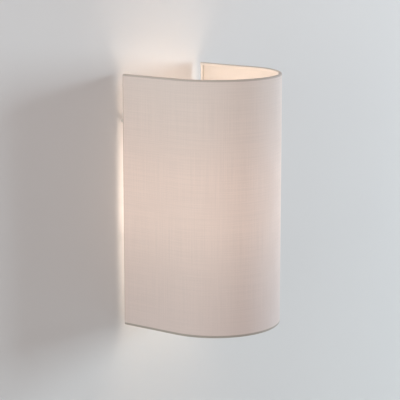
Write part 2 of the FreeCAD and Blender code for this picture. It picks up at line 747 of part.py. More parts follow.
def lampholder_cap():
    """The domed lower part of the lampholder."""
    base, floor = holder_base_z, holder_base_z + holder_floor
    rim = holder_base_z + holder_cap_height
    outer_bend_z, inner_radius = base + holder_shoulder, holder_radius - holder_wall
    hole = nipple_diameter / 2 + small_clearance
    inner_floor = holder_base_radius - holder_wall
    edges = chain([(hole, base), (holder_base_radius, base)])
    edges.append(quarter_bend((holder_base_radius, base), (holder_radius, outer_bend_z)))
    edges += chain([(holder_radius, outer_bend_z), (holder_radius, rim), (inner_radius, rim),
                    (inner_radius, outer_bend_z)])
    edges.append(quarter_bend((inner_floor, floor), (inner_radius, outer_bend_z)))
    edges += chain([(inner_floor, floor), (hole, floor), (hole, base)])
    return turned_edges(edges)


def lampholder_nodes():
    """Cap, skirt, core, thread sleeve and contacts."""
    rim_z = holder_base_z + holder_cap_height
    mouth_z = holder_base_z + holder_height
    boss_z = rim_z + core_boss_height
    lip_radius = holder_radius + skirt_lip
    skirt = turned([
        (skirt_bore_radius, rim_z), (holder_radius, rim_z), (holder_radius, mouth_z - 5 * skirt_lip),
        (lip_radius, mouth_z - 4 * skirt_lip), (lip_radius, mouth_z - skirt_lip),
        (holder_radius, mouth_z), (skirt_bore_radius, mouth_z)])
    core_radius = holder_radius - holder_wall - core_clearance
    boss_radius = skirt_bore_radius - core_clearance
    core = turned([(0, core_bottom_z), (core_radius, core_bottom_z), (core_radius, rim_z),
                   (boss_radius, rim_z), (boss_radius, boss_z), (0, boss_z)])
    wire_end_z = core_bottom_z + core_height - core_wire_cover
    screw_z = (core_bottom_z + wire_end_z) / 2 + small_clearance
    screw_tip_y = lamp_y - sheath_radius - small_clearance
    side_y = lamp_y - math.sqrt(core_radius ** 2 - (core_wire_offset + core_screw_head / 2) ** 2)
    seat_y = side_y + core_screw_head_height
    cuts, screws = [], []
    for x in (-core_wire_offset, core_wire_offset):
        cuts.append(upright_rod(x, lamp_y, (core_bottom_z, wire_end_z), sheath_radius + small_clearance))
        cuts.append(along_y(x, screw_z, lamp_y, seat_y, core_screw_diameter / 2 + small_clearance))
        cuts.append(along_y(x, screw_z, seat_y, lamp_y - core_radius, core_screw_head / 2 + small_clearance))
        head = along_y(x, screw_z, seat_y, side_y, core_screw_head / 2)
        screws.append(joined([head, along_y(x, screw_z, seat_y, screw_tip_y, core_screw_diameter / 2)]))
    sleeve_radius = thread_sleeve_bore + thread_sleeve_wall
    sleeve = upright_rod(0, lamp_y, (boss_z, thread_sleeve_top), sleeve_radius)
    sleeve = sleeve.cut(upright_rod(0, lamp_y, (boss_z, thread_sleeve_top), thread_sleeve_bore))
    side_x = (sleeve_radius + small_clearance, sleeve_radius + small_clearance + side_contact_thickness)
    half_width, half_length = contact_width / 2, contact_length / 2
    side_y_range = (lamp_y - half_width, lamp_y + half_width)
    centre_y_range = (lamp_y - half_length, lamp_y + half_length)
    centre_z_range = (boss_z, boss_z + contact_thickness)
    return {
        "lampholder_cap": lampholder_cap(),
        "lampholder_skirt": skirt,
        "lampholder_core": core.cut(cuts),
        "core_screws": group(screws),
        "thread_sleeve": sleeve,
        "centre_contact": box((-half_width, half_width), centre_y_range, centre_z_range),
        "side_contact": box(side_x, side_y_range, (boss_z, boss_z + side_contact_height)),
    }


# ---------------------------------------------------------------- bulb
def bulb_collar():
    """The white body between the cap and the globe: a neck inside the cap, then a flare."""
    neck = cap_radius - cap_wall - small_clearance
    bore = neck - collar_wall
    neck_z = cap_top_z - cap_length / 2
    inner_top = collar_top_radius - collar_wall
    mid_z = (cap_top_z + collar_top_z) / 2
    mid_radius = (neck_radius + collar_top_radius) / 2 - flare_hollow
    outer_ends = V(neck_radius, lamp_y, cap_top_z), V(collar_top_radius, lamp_y, collar_top_z)
    outer = arc(outer_ends[0], V(mid_radius, lamp_y, mid_z), outer_ends[1])
    inner_mid = V(mid_radius - collar_wall, lamp_y, mid_z)
    inner_low = (neck_radius - collar_wall, cap_top_z + collar_wall)
    inner = arc(V(inner_top, lamp_y, collar_top_z), inner_mid, V(inner_low[0], lamp_y, inner_low[1]))
    edges = chain([(bore, neck_z), (neck, neck_z), (neck, cap_top_z), (neck_radius, cap_top_z)]) + [outer]
    edges += chain([(collar_top_radius, collar_top_z), (inner_top, collar_top_z)]) + [inner]
    edges += chain([inner_low, (bore, inner_low[1]), (bore, neck_z)])
    return turned_edges(edges)


def globe():
    """The opal dome: a thin ball, open where it sits on the collar."""
    centre = V(0, lamp_y, globe_centre_z)
    ball = Part.makeSphere(globe_radius, centre).cut(Part.makeSphere(globe_radius - globe_wall, centre))
    wide = globe_radius + 1
    below = box((-wide, wide), (lamp_y - wide, lamp_y + wide), (globe_centre_z - wide, collar_top_z))
    return ball.cut(below)


def bulb_nodes():
    """Contact tip, insulator, threaded cap, collar, globe and the light board with its driver."""
    insulator_z = tip_z + tip_height
    cap_z = insulator_z + insulator_height
    thread_z = cap_z + cap_taper
    cap_inner = cap_radius - cap_wall
    rim_inner = insulator_radius - 2 * cap_wall
    flare_height = collar_top_z - cap_top_z
    flare_slope = (collar_top_radius - neck_radius + 4 * flare_hollow) / flare_height
    board_radius = collar_top_radius - collar_wall - led_board_clearance - flare_slope * led_board_thickness
    board_z = collar_top_z - led_board_thickness
    leds = []
    for i in range(led_count):
        turn = 2 * math.pi * i / led_count
        x, y = led_ring_radius * math.cos(turn), lamp_y + led_ring_radius * math.sin(turn)
        x_range, y_range = (x - led_size / 2, x + led_size / 2), (y - led_size / 2, y + led_size / 2)
        leds.append(box(x_range, y_range, (collar_top_z, collar_top_z + led_height)))
    driver_y = (lamp_y - driver_board_thickness / 2, lamp_y + driver_board_thickness / 2)
    driver_z = (board_z - driver_board_height, board_z)
    tip_edges = chain([(tip_radius, insulator_z), (0, insulator_z), (0, tip_z)])
    tip_edges.append(quarter_bend((0, tip_z), (tip_radius, insulator_z)))
    return {
        "bulb_tip": turned_edges(tip_edges),
        "bulb_insulator": turned([(0, insulator_z), (insulator_low_radius, insulator_z),
                                  (insulator_radius, cap_z), (0, cap_z)]),
        "bulb_cap": turned([(rim_inner, cap_z), (insulator_radius, cap_z), (cap_radius, thread_z),
                            (cap_radius, cap_top_z), (cap_inner, cap_top_z), (cap_inner, thread_z),
                            (rim_inner, cap_z + cap_wall)]),
        "bulb_collar": bulb_collar(),
        "bulb_globe": globe(),
        "led_board": rod(V(0, lamp_y, board_z), V(0, lamp_y, collar_top_z), board_radius),
        "led_chips": group(leds),
        "driver_board": box((-driver_board_width / 2, driver_board_width / 2), driver_y, driver_z),
    }


# ---------------------------------------------------------------- the whole light
def main():
    """Makes every node and writes one STEP file for each."""
    nodes = {}
    for sub_assembly in (wall_side_nodes, arm_nodes, terminal_nodes, cover_nodes, wire_nodes,
                         lampholder_nodes, bulb_nodes, shade_nodes):
        nodes.update(sub_assembly())
    os.makedirs("parts", exist_ok=True)
    for name, shape in nodes.items():
        shape.exportStep(f"parts/{name}.step")
        bounds = shape.BoundBox
        print(f"{name:20s} {len(shape.Solids)} solids  {shape.Volume:10.1f} mm3  valid {shape.isValid()}"
              f"  z {bounds.ZMin:.1f}..{bounds.ZMax:.1f}")
    print("bulb travel to the end of its thread", round(engaged_thread, 2), "mm")
    print("lift that takes the shade off the plate", round(plate_top_z - bottom_z, 2), "mm")


main()
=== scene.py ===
"""Dressed scene of a wall light: a U-shaped fabric shade over a back plate with an upright bulb.

Everything is in metres in the part's own frame: +Z up, the wall is the plane y = 0 and the
light stands on its -Y side.
"""

import json
import logging
import math
from dataclasses import dataclass
from enum import Enum
from typing import ClassVar

import bpy
from mathutils import Euler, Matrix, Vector

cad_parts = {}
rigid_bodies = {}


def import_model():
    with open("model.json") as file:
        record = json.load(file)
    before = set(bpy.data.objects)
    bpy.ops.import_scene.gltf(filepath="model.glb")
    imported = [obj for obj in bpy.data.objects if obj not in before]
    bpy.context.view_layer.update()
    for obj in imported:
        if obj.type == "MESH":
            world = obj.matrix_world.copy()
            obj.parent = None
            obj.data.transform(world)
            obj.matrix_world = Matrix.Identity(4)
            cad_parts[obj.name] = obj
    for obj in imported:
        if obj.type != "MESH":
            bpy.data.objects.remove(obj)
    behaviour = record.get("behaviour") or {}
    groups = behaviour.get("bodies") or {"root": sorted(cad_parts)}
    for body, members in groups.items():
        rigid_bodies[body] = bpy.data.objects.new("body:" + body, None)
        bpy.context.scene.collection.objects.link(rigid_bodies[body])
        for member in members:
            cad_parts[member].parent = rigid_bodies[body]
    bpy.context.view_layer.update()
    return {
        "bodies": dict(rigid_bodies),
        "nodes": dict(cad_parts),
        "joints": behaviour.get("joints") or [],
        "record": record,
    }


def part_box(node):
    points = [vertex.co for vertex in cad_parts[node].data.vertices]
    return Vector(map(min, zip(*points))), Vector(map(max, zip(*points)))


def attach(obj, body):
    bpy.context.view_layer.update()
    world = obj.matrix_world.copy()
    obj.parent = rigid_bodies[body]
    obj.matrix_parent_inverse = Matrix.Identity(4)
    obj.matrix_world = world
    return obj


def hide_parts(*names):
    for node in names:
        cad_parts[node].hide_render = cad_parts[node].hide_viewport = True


LOG = logging.getLogger("wall_light")

Colour = tuple[float, float, float]
Point = tuple[float, float, float]
Value = bpy.types.NodeSocket | bpy.types.Node | float | int | str | tuple | bpy.types.Material

BLACK = (0.0, 0.0, 0.0, 1.0)
LAMP_Y = -0.0825  # the bulb and its holder stand on one upright line, this far from the wall


class Socket(Enum):
    """Kinds of socket that a node tree's interface takes."""

    FLOAT = "NodeSocketFloat"
    INTEGER = "NodeSocketInt"
    VECTOR = "NodeSocketVector"
    COLOUR = "NodeSocketColor"
    MATERIAL = "NodeSocketMaterial"
    GEOMETRY = "NodeSocketGeometry"


class Rim(Enum):
    """The shade's two open ends; the value is the side that the rim lies on."""

    TOP = 1
    BOTTOM = -1


class Side(Enum):
    """The shade's two sides; the value is the sign of X."""

    LEFT = -1
    RIGHT = 1


# ------------------------------------------------------------------ node trees
@dataclass
class Tree:
    """Adds nodes to one node tree and joins them."""

    tree: bpy.types.NodeTree
    noise_low: ClassVar[float] = 0.3
    noise_high: ClassVar[float] = 0.7

    @classmethod
    def bare(cls, owner: bpy.types.Material | bpy.types.World) -> "Tree":
        """Turns on the nodes of a material or a world and clears them.

        Args:
            owner: the material or world.

        Returns:
            Its empty tree.
        """
        owner.use_nodes = True
        owner.node_tree.nodes.clear()
        return cls(owner.node_tree)

    def add(self, kind: str, inputs: dict[str | int, Value] | None = None,
            **settings: object) -> bpy.types.Node:
        """Adds one node.

        Args:
            kind: the node's type name.
            inputs: values or sockets for its inputs, by name or by place.
            settings: the node's own settings.

        Returns:
            The new node.
        """
        node = self.tree.nodes.new(kind)
        for name, value in settings.items():
            setattr(node, name, value)
        for key, value in (inputs or {}).items():
            self.feed(node.inputs[key], value)
        return node

    def feed(self, socket: bpy.types.NodeSocket, value: Value) -> None:
        """Joins a socket to an output, or sets its own value.

        Args:
            socket: the input.
            value: an output, a node whose first output in use is meant, or a plain value.
        """
        if isinstance(value, bpy.types.Node):
            value = next(out for out in value.outputs if out.enabled)
        if isinstance(value, bpy.types.NodeSocket):
            self.tree.links.new(value, socket)
        else:
            socket.default_value = value

    def group(self, tree: bpy.types.NodeTree, **values: Value) -> bpy.types.Node:
        """Places a shared shader group with its own values."""
        return self.add("ShaderNodeGroup", values, node_tree=tree)

    def math(self, operation: str, *values: Value) -> bpy.types.NodeSocket:
        """Adds a Math node and gives its output."""
        inputs = dict(enumerate(values))
        return self.add("ShaderNodeMath", inputs, operation=operation).outputs[0]

    def vector(self, operation: str, *values: Value) -> bpy.types.NodeSocket:
        """Adds a Vector Math node and gives its vector output."""
        inputs = dict(enumerate(values))
        return self.add("ShaderNodeVectorMath", inputs, operation=operation).outputs[0]

    def xyz(self, x: Value, y: Value, z: Value) -> bpy.types.NodeSocket:
        """Puts three values together as a vector."""
        return self.add("ShaderNodeCombineXYZ", {"X": x, "Y": y, "Z": z}).outputs[0]

    def parts_of(self, vector: Value) -> list[bpy.types.NodeSocket]:
        """Takes a vector apart into x, y and z."""
        return list(self.add("ShaderNodeSeparateXYZ", {0: vector}).outputs)

    def ramp(self, value: Value, low: Value, high: Value, start: Value = 0.0,
             end: Value = 1.0) -> bpy.types.NodeSocket:
        """Maps a value smoothly from low..high to start..end, and holds it outside."""
        inputs = {"Value": value, "From Min": low, "From Max": high, "To Min": start, "To Max": end}
        return self.add("ShaderNodeMapRange", inputs, interpolation_type="SMOOTHSTEP").outputs[0]

    def blend(self, share: Value, first: Value, second: Value) -> bpy.types.NodeSocket:
        """Mixes two colours.

        Args:
            share: how much of the second, from 0 to 1.
            first: one colour.
            second: the other.

        Returns:
            The mixed colour.
        """
        node = self.add("ShaderNodeMix", data_type="RGBA")
        self.feed(node.inputs["Factor"], share)
        self.feed(node.inputs["A"], first)
        self.feed(node.inputs["B"], second)
        return node.outputs["Result"]

    def noise(self, vector: Value, scale: Value, detail: float = 3.0) -> bpy.types.NodeSocket:
        """Adds a noise texture and gives its value."""
        inputs = {"Vector": vector, "Scale": scale, "Detail": detail}
        return self.add("ShaderNodeTexNoise", inputs).outputs[0]

    def cloud(self, vector: Value, scale: Value, start: Value, end: Value,
              detail: float = 3.0) -> bpy.types.NodeSocket:
        """Gives a value that wanders between start and end."""
        spread = self.noise(vector, scale, detail)
        return self.ramp(spread, self.noise_low, self.noise_high, start, end)

    def named_inputs(self, sockets: dict[str, Socket]) -> bpy.types.bpy_prop_collection:
        """Makes the tree's named inputs.

        Args:
            sockets: each input's name and kind.

        Returns:
            Their sockets inside the tree, by name.
        """
        for name, kind in sockets.items():
            self.tree.interface.new_socket(name, in_out="INPUT", socket_type=kind.value)
        return self.add("NodeGroupInput").outputs

    def named_outputs(self, sockets: dict[str, tuple[Socket, Value]]) -> None:
        """Makes the tree's named outputs and joins them.

        Args:
            sockets: each output's name, kind and value.
        """
        for name, (kind, _) in sockets.items():
            self.tree.interface.new_socket(name, in_out="OUTPUT", socket_type=kind.value)
        end = self.add("NodeGroupOutput")
        for name, (_, value) in sockets.items():
            self.feed(end.inputs[name], value)


def rgba(colour: Colour) -> tuple[float, float, float, float]:
    """A colour with full opacity."""
    return (*colour, 1.0)


# ------------------------------------------------------------------ shared shader effects
@dataclass
class Effects:
    """Shader node groups that more than one finish uses, each built once."""

    wander_scale: float = 60.0
    wander: float = 0.9
    yarn_mean: float = 0.62
    yarn_wave: float = 0.38
    slub_along: float = 14.0
    slub_across: float = 900.0
    slub_low: float = 0.6
    slub_high: float = 1.4
    mottle_finer: float = 9.0
    mottle_fine_share: float = 0.4
    mottle_low: float = 0.45
    mottle_high: float = 0.95
    grain_finer: float = 4.3
    grain_fine_share: float = 0.5
    scuff_start: float = 0.78
    scuff_edge: float = 0.08

    def __post_init__(self) -> None:
        """Builds the groups."""
        self.weave = self._weave()
        self.mottle = self._mottle()
        self.grain = self._grain()
        self.scuffs = self._scuffs()

    @staticmethod
    def _new(name: str) -> Tree:
        """Starts an empty shader node group."""
        return Tree(bpy.data.node_groups.new(name, "ShaderNodeTree"))

    def _weave(self) -> bpy.types.NodeTree:
        """Plain weave with uneven yarns, on a map in metres along the cloth.

        Returns:
            The group, with the threads in a metre and the slubs' height as inputs.
        """
        t = self._new("plain_weave")
        given = t.named_inputs({"Vector": Socket.VECTOR, "Threads": Socket.FLOAT, "Slub": Socket.FLOAT})
        u, v, _ = t.parts_of(given["Vector"])
        drift = t.noise(given["Vector"], self.wander_scale, detail=2.0)
        wander = t.math("MULTIPLY", drift, self.wander)
        across = t.math("ADD", t.math("MULTIPLY", u, given["Threads"]), wander)
        along = t.math("ADD", t.math("MULTIPLY", v, given["Threads"]), wander)

        def yarn(this_way: Value, that_way: Value, phase: float) -> bpy.types.NodeSocket:
            """Height of one set of yarns, which pass over and under the other set.

            Args:
                this_way: the count of threads across the set.
                that_way: the count of the threads that it crosses.
                phase: 0 or 1, for which set is on top at the first crossing.

            Returns:
                The height, from 0 to 1.
            """
            body = t.math("ABSOLUTE", t.math("SINE", t.math("MULTIPLY", this_way, math.pi)))
            step = t.math("ADD", t.math("FLOOR", this_way), phase)
            wave = t.math("SINE", t.math("MULTIPLY", t.math("ADD", that_way, step), math.pi))
            bent = t.math("MULTIPLY_ADD", wave, self.yarn_wave, self.yarn_mean)
            return t.math("MULTIPLY", body, bent)

        crossing = t.math("MAXIMUM", yarn(across, along, 0.0), yarn(along, across, 1.0))
        drawn_up = (self.slub_across, self.slub_along, 1.0)
        drawn_level = (self.slub_along, self.slub_across, 1.0)
        upright = t.noise(t.vector("MULTIPLY", given["Vector"], drawn_up), 1.0, detail=2.0)
        level = t.noise(t.vector("MULTIPLY", given["Vector"], drawn_level), 1.0, detail=2.0)
        slub = t.math("ADD", upright, level)
        height = t.math("MULTIPLY_ADD", t.math("SUBTRACT", slub, 1.0), given["Slub"], crossing)
        yarns = t.ramp(slub, self.slub_low, self.slub_high)
        t.named_outputs({"Height": (Socket.FLOAT, height), "Yarns": (Socket.FLOAT, yarns)})
        return t.tree

    def _mottle(self) -> bpy.types.NodeTree:
        """Slow change between two colours with a finer one over it.

        Returns:
            The group.
        """
        t = self._new("mottle")
        given = t.named_inputs({"Vector": Socket.VECTOR, "Scale": Socket.FLOAT, "Light": Socket.COLOUR,
                                "Dark": Socket.COLOUR})
        broad = t.noise(given["Vector"], given["Scale"], detail=4.0)
        finer = t.math("MULTIPLY", given["Scale"], self.mottle_finer)
        fine = t.noise(given["Vector"], finer, detail=2.0)
        both = t.math("MULTIPLY_ADD", fine, self.mottle_fine_share, broad)
        share = t.ramp(both, self.mottle_low, self.mottle_high)
        t.named_outputs({"Colour": (Socket.COLOUR, t.blend(share, given["Light"], given["Dark"]))})
        return t.tree

    def _grain(self) -> bpy.types.NodeTree:
        """Fine grain, drawn out along a direction where Stretch is uneven.

        Returns:
            The group.
        """
        t = self._new("surface_grain")
        given = t.named_inputs({"Vector": Socket.VECTOR, "Stretch": Socket.VECTOR,
                                "Scale": Socket.FLOAT})
        placed = t.vector("MULTIPLY", given["Vector"], given["Stretch"])
        coarse = t.noise(placed, given["Scale"])
        fine = t.noise(placed, t.math("MULTIPLY", given["Scale"], self.grain_finer), detail=2.0)
        height = t.math("MULTIPLY_ADD", fine, self.grain_fine_share, coarse)
        t.named_outputs({"Height": (Socket.FLOAT, height)})
        return t.tree

    def _scuffs(self) -> bpy.types.NodeTree:
        """Sparse rubbed spots, as a mask.

        Returns:
            The group.
        """
        t = self._new("scuffs")
        given = t.named_inputs({"Vector": Socket.VECTOR, "Scale": Socket.FLOAT, "Amount": Socket.FLOAT})
        spots = t.noise(given["Vector"], given["Scale"], detail=6.0)
        edge = t.math("SUBTRACT", self.scuff_start, given["Amount"])
        mask = t.ramp(spots, edge, t.math("ADD", edge, self.scuff_edge))
        t.named_outputs({"Mask": (Socket.FLOAT, mask)})
        return t.tree


# ------------------------------------------------------------------ finishes
@dataclass(frozen=True)
class Finish:
    """What every finish has: two near colours, a roughness, and how its bump reads."""

    light: Colour
    dark: Colour
    roughness: float = 0.5
    metallic: float = 0.0
    mottle_scale: float = 14.0
    grain_scale: float = 900.0
    grain_depth: float = 0.00002
    stretch: Point = (1.0, 1.0, 1.0)
    specular: float = 0.5
    coat: float = 0.0
    gloss_spread: float = 0.12
    gloss_finer: float = 3.0

    def build(self, name: str, effects: Effects) -> bpy.types.Material:
        """Makes the material.

        Args:
            name: the record's material slot, which names it.
            effects: the shared shader groups.

        Returns:
            The finished material.
        """
        material = bpy.data.materials.new(name)
        t = Tree.bare(material)
        place = t.add("ShaderNodeTexCoord").outputs["Object"]
        surface = t.add("ShaderNodeBsdfPrincipled", {
            "Metallic": self.metallic, "Roughness": self.roughness, "Specular IOR Level": self.specular,
            "Coat Weight": self.coat})
        t.feed(surface.inputs["Base Color"], self.colour(t, effects, place))
        t.feed(surface.inputs["Roughness"], self.gloss(t, place))
        bump = t.add("ShaderNodeBump", {"Strength": 1.0, "Distance": self.grain_depth})
        t.feed(bump.inputs["Height"], self.height(t, effects, place))
        t.feed(surface.inputs["Normal"], bump)
        self.extra(t, effects, place, surface)
        t.add("ShaderNodeOutputMaterial", {"Surface": surface})
        return material

    def colour(self, t: Tree, effects: Effects, place: Value) -> Value:
        """Base colour: the two near colours, slowly changing."""
        return t.group(effects.mottle, Vector=place, Scale=self.mottle_scale, Light=rgba(self.light),
                       Dark=rgba(self.dark)).outputs["Colour"]

    def gloss(self, t: Tree, place: Value) -> Value:
        """Roughness, a little uneven."""
        low, high = (self.roughness * (1 + way * self.gloss_spread) for way in (-1, 1))
        return t.cloud(place, self.mottle_scale * self.gloss_finer, low, min(1.0, high))

    def height(self, t: Tree, effects: Effects, place: Value) -> Value:
        """Fine grain for the bump."""
        return t.group(effects.grain, Vector=place, Stretch=self.stretch,
                       Scale=self.grain_scale).outputs["Height"]

    def extra(self, t: Tree, effects: Effects, place: Value, surface: bpy.types.Node) -> None:
        """Anything that only some finishes have."""

    @staticmethod
    def shine(t: Tree, surface: bpy.types.Node, share: Value, glow: Value, strength: float) -> None:
        """Lets a surface give light, by a share from 0 to 1 of its glow."""
        t.feed(surface.inputs["Emission Color"], t.blend(share, BLACK, glow))
        surface.inputs["Emission Strength"].default_value = strength


@dataclass(frozen=True)
class PowderCoat(Finish):
    """Baked powder coat with orange peel and a few rubbed spots."""

    rubbed: Colour = (0.60, 0.59, 0.57)
    rubbed_scale: float = 60.0
    rubbed_amount: float = 0.06
    rubbed_share: float = 0.5

    def colour(self, t: Tree, effects: Effects, place: Value) -> Value:
        """The coat's colour, a shade greyer where it is rubbed.

        Args:
            t: the material's tree.
            effects: the shared shader groups.
            place: where a point lies, in metres.

        Returns:
            The colour.
        """
        plain = Finish.colour(self, t, effects, place)
        worn = t.group(effects.scuffs, Vector=place, Scale=self.rubbed_scale, Amount=self.rubbed_amount)
        share = t.math("MULTIPLY", worn.outputs["Mask"], self.rubbed_share)
        return t.blend(share, plain, rgba(self.rubbed))


@dataclass(frozen=True)
class BareMetal(Finish):
    """Metal that shows as it is."""

    metallic: float = 1.0


@dataclass(frozen=True)
class Sheath(Finish):
    """The soft plastic insulation of a wire."""

    roughness: float = 0.42
    mottle_scale: float = 90.0
    grain_scale: float = 1500.0


@dataclass(frozen=True)
class StripedSheath(Sheath):
    """Two-coloured insulation: a stripe runs along each side of the wire."""

    stripe: Colour = (0.75, 0.62, 0.05)
    stripe_half: float = 0.0003
    stripe_edge: float = 0.1

    def colour(self, t: Tree, effects: Effects, place: Value) -> Value:
        """The stripe's colour near the wire's middle plane, and the sheath's beside it.

        Args:
            t: the material's tree.
            effects: the shared shader groups.
            place: where a point lies, in metres.

        Returns:
            The colour.
        """
        x, _, _ = t.parts_of(place)
        inner, outer = (self.stripe_half * (1 + way * self.stripe_edge) for way in (-1, 1))
        mask = t.ramp(t.math("ABSOLUTE", x), inner, outer, 1.0, 0.0)
        return t.blend(mask, Finish.colour(self, t, effects, place), rgba(self.stripe))


@dataclass(frozen=True)
class LitOpal(Finish):
    """Opal plastic that gives a warm light, weaker at its lower rim and towards its crown."""

    glow: Colour = (1.0, 0.82, 0.71)
    strength: float = 8.2
    rim_z: float = -0.014
    rim_height: float = 0.004
    rim_share: float = 0.9
    crown_z: float = 0.030
    crown_share: float = 0.85
    cloud_scale: float = 45.0
    cloud_share: float = 0.94

    def extra(self, t: Tree, effects: Effects, place: Value, surface: bpy.types.Node) -> None:
        """Adds the glow.

        Args:
            t: the material's tree.
            effects: the shared shader groups; not used.
            place: where a point lies, in metres.
            surface: the material's shader.
        """
        _, _, z = t.parts_of(place)
        cloud = t.cloud(place, self.cloud_scale, self.cloud_share, 1.0)
        rim = t.ramp(z, self.rim_z, self.rim_z + self.rim_height, self.rim_share, 1.0)
        crown = t.ramp(z, 0.0, self.crown_z, 1.0, self.crown_share)
        share = t.math("MULTIPLY", t.math("MULTIPLY", rim, crown), cloud)
        self.shine(t, surface, share, rgba(self.glow), self.strength)


@dataclass(frozen=True)
class LitCloth(Finish):
    """Woven cloth with the light of the bulb behind it painted on as a glow, on the piece's own map in
    metres.
    """

    half_height: float = 0.15
    sheen: float = 0.15
    sheen_roughness: float = 0.5

    # the weave: threads in a metre, the slubs' height, and how dark the painted shade in the gaps
    # between yarns is
    threads: float = 2100.0
    slub: float = 0.9
    gap_low: float = 0.1
    gap_high: float = 0.6
    gap_shade_share: float = 0.10

    # the bulb's light that comes through, painted on as a glow: the bulb's own, and the haze above and
    # below it
    glow: Colour = (0.317, 0.192, 0.137)
    haze_above: Colour = (0.142, 0.103, 0.085)
    haze_below: Colour = (0.049, 0.004, 0.0)
    bulb_z: float = 0.008
    bulb_to_cloth: float = 0.078
    reach: float = 0.082
    fading: float = 1.86
    front_half: float = 0.078
    front_share: float = 0.84
    thick_share: float = 0.88

    # the painted shade of the ring wires and hems behind the cloth: a band at each rim and at each back
    # edge, where it starts and how dark it is
    edge: Colour = (0.40, 0.375, 0.34)
    edge_softness: float = 0.0004
    edge_dimming: float = 0.9
    rim_band: float = 0.0022
    top_rim_share: float = 0.6
    bottom_band: float = 0.0032
    turned_under: float = 0.1502
    turned_share: float = 0.2
    half_way_round: float = 0.1985
    back_band: float = 0.0014
    back_softness: float = 0.0003
    back_share: float = 0.55

    def cloth_map(self, t: Tree) -> bpy.types.NodeSocket:
        """The piece's own map, in metres along and up the cloth."""
        return t.add("ShaderNodeUVMap", uv_map="UVMap").outputs[0]

    def edge_shade_mask(self, t: Tree, place: Value) -> bpy.types.NodeSocket:
        """Marks the rims and the back edges, where wire and hem lie behind the cloth and a painted shade
        darkens it.

        Args:
            t: the material's tree.
            place: where a point lies, in metres.

        Returns:
            1 where the painted shade is darkest, and 0 away from it.
        """
        u, v, _ = t.parts_of(self.cloth_map(t))
        _, _, z = t.parts_of(place)
        soft = self.edge_softness
        rim_low = self.half_height - self.rim_band
        top = t.ramp(z, rim_low - soft, rim_low + soft, 0.0, self.top_rim_share)
        bottom_high = self.bottom_band - self.half_height
        bottom = t.ramp(z, bottom_high - soft, bottom_high + soft, 1.0, 0.0)
        turned = t.ramp(v, -self.turned_under, soft - self.turned_under, self.turned_share, 1.0)
        rim = t.math("MAXIMUM", top, t.math("MULTIPLY", bottom, turned))
        back_low = self.half_way_round - self.back_band
        soft = self.back_softness
        back = t.ramp(t.math("ABSOLUTE", u), back_low - soft, back_low + soft, 0.0, self.back_share)
        return t.math("MAXIMUM", rim, back)

    def woven(self, t: Tree, effects: Effects) -> bpy.types.Node:
        """The weave, on the piece's own map."""
        return t.group(effects.weave, Vector=self.cloth_map(t), Threads=self.threads, Slub=self.slub)

    def colour(self, t: Tree, effects: Effects, place: Value) -> Value:
        """Yarns of two near colours, with a painted shade in the gaps between yarns and along the edges.

        Args:
            t: the material's tree.
            effects: the shared shader groups.
            place: where a point lies, in metres.

        Returns:
            The colour.
        """
        weave = self.woven(t, effects)
        yarns = t.blend(weave.outputs["Yarns"], rgba(self.light), rgba(self.dark))
        # painted shade in the hollows between yarns
        gap = t.ramp(weave.outputs["Height"], self.gap_low, self.gap_high, self.gap_shade_share, 0.0)
        cloth = t.blend(gap, yarns, rgba(self.edge))
        # painted shade: darker along the rims and back edges, where wire and hem block the bulb's light
        return t.blend(self.edge_shade_mask(t, place), cloth, rgba(self.edge))

    def height(self, t: Tree, effects: Effects, place: Value) -> Value:
        """The weave's height."""
        return self.woven(t, effects).outputs["Height"]

    def extra(self, t: Tree, effects: Effects, place: Value, surface: bpy.types.Node) -> None:
        """Adds a sheen and the bulb's light that comes through as a painted glow, strongest beside the
        bulb.

        Args:
            t: the material's tree.
            effects: the shared shader groups.
            place: where a point lies, in metres.
            surface: the material's shader.
        """
        surface.inputs["Sheen Weight"].default_value = self.sheen
        surface.inputs["Sheen Roughness"].default_value = self.sheen_roughness
        x, _, z = t.parts_of(place)
        away = t.xyz(self.bulb_to_cloth, 0.0, t.math("SUBTRACT", z, self.bulb_z))
        distance = t.add("ShaderNodeVectorMath", {0: away}, operation="LENGTH").outputs["Value"]
        weaker = t.math("POWER", t.math("DIVIDE", self.reach, distance), self.fading)
        near = t.math("MINIMUM", weaker, 1.0)
        height = t.ramp(z, -self.half_height, self.half_height)
        far = t.blend(height, rgba(self.haze_below), rgba(self.haze_above))
        light = t.blend(near, far, rgba(self.glow))
        # the painted glow is weaker towards the front of the nose
        front = t.ramp(t.math("ABSOLUTE", x), 0.0, self.front_half, self.front_share, 1.0)
        thin = t.ramp(self.woven(t, effects).outputs["Yarns"], 0.0, 1.0, 1.0, self.thick_share)
        # the painted glow is dimmed in the same bands of painted shade from wire and hem
        bare = t.math("MULTIPLY_ADD", self.edge_shade_mask(t, place), -self.edge_dimming, 1.0)
        share = t.math("MULTIPLY", t.math("MULTIPLY", front, thin), bare)
        self.shine(t, surface, share, light, 1.0)


@dataclass(frozen=True)
class LitLiner(Finish):
    """The stiff liner, with the bulb's light scattered over its inside painted on as a glow, most
    towards the bottom.
    """

    glow: Colour = (0.24, 0.18, 0.135)
    top_share: float = 0.3
    half_height: float = 0.15
    cloud_scale: float = 12.0
    cloud_share: float = 0.92

    def extra(self, t: Tree, effects: Effects, place: Value, surface: bpy.types.Node) -> None:
        """Adds the painted glow of the scattered light.

        Args:
            t: the material's tree.
            effects: the shared shader groups; not used.
            place: where a point lies, in metres.
            surface: the material's shader.
        """
        _, _, z = t.parts_of(place)
        cloud = t.cloud(place, self.cloud_scale, self.cloud_share, 1.0, detail=2.0)
        height = t.ramp(z, -self.half_height, self.half_height, 1.0, self.top_share)
        self.shine(t, surface, t.math("MULTIPLY", cloud, height), rgba(self.glow), 1.0)


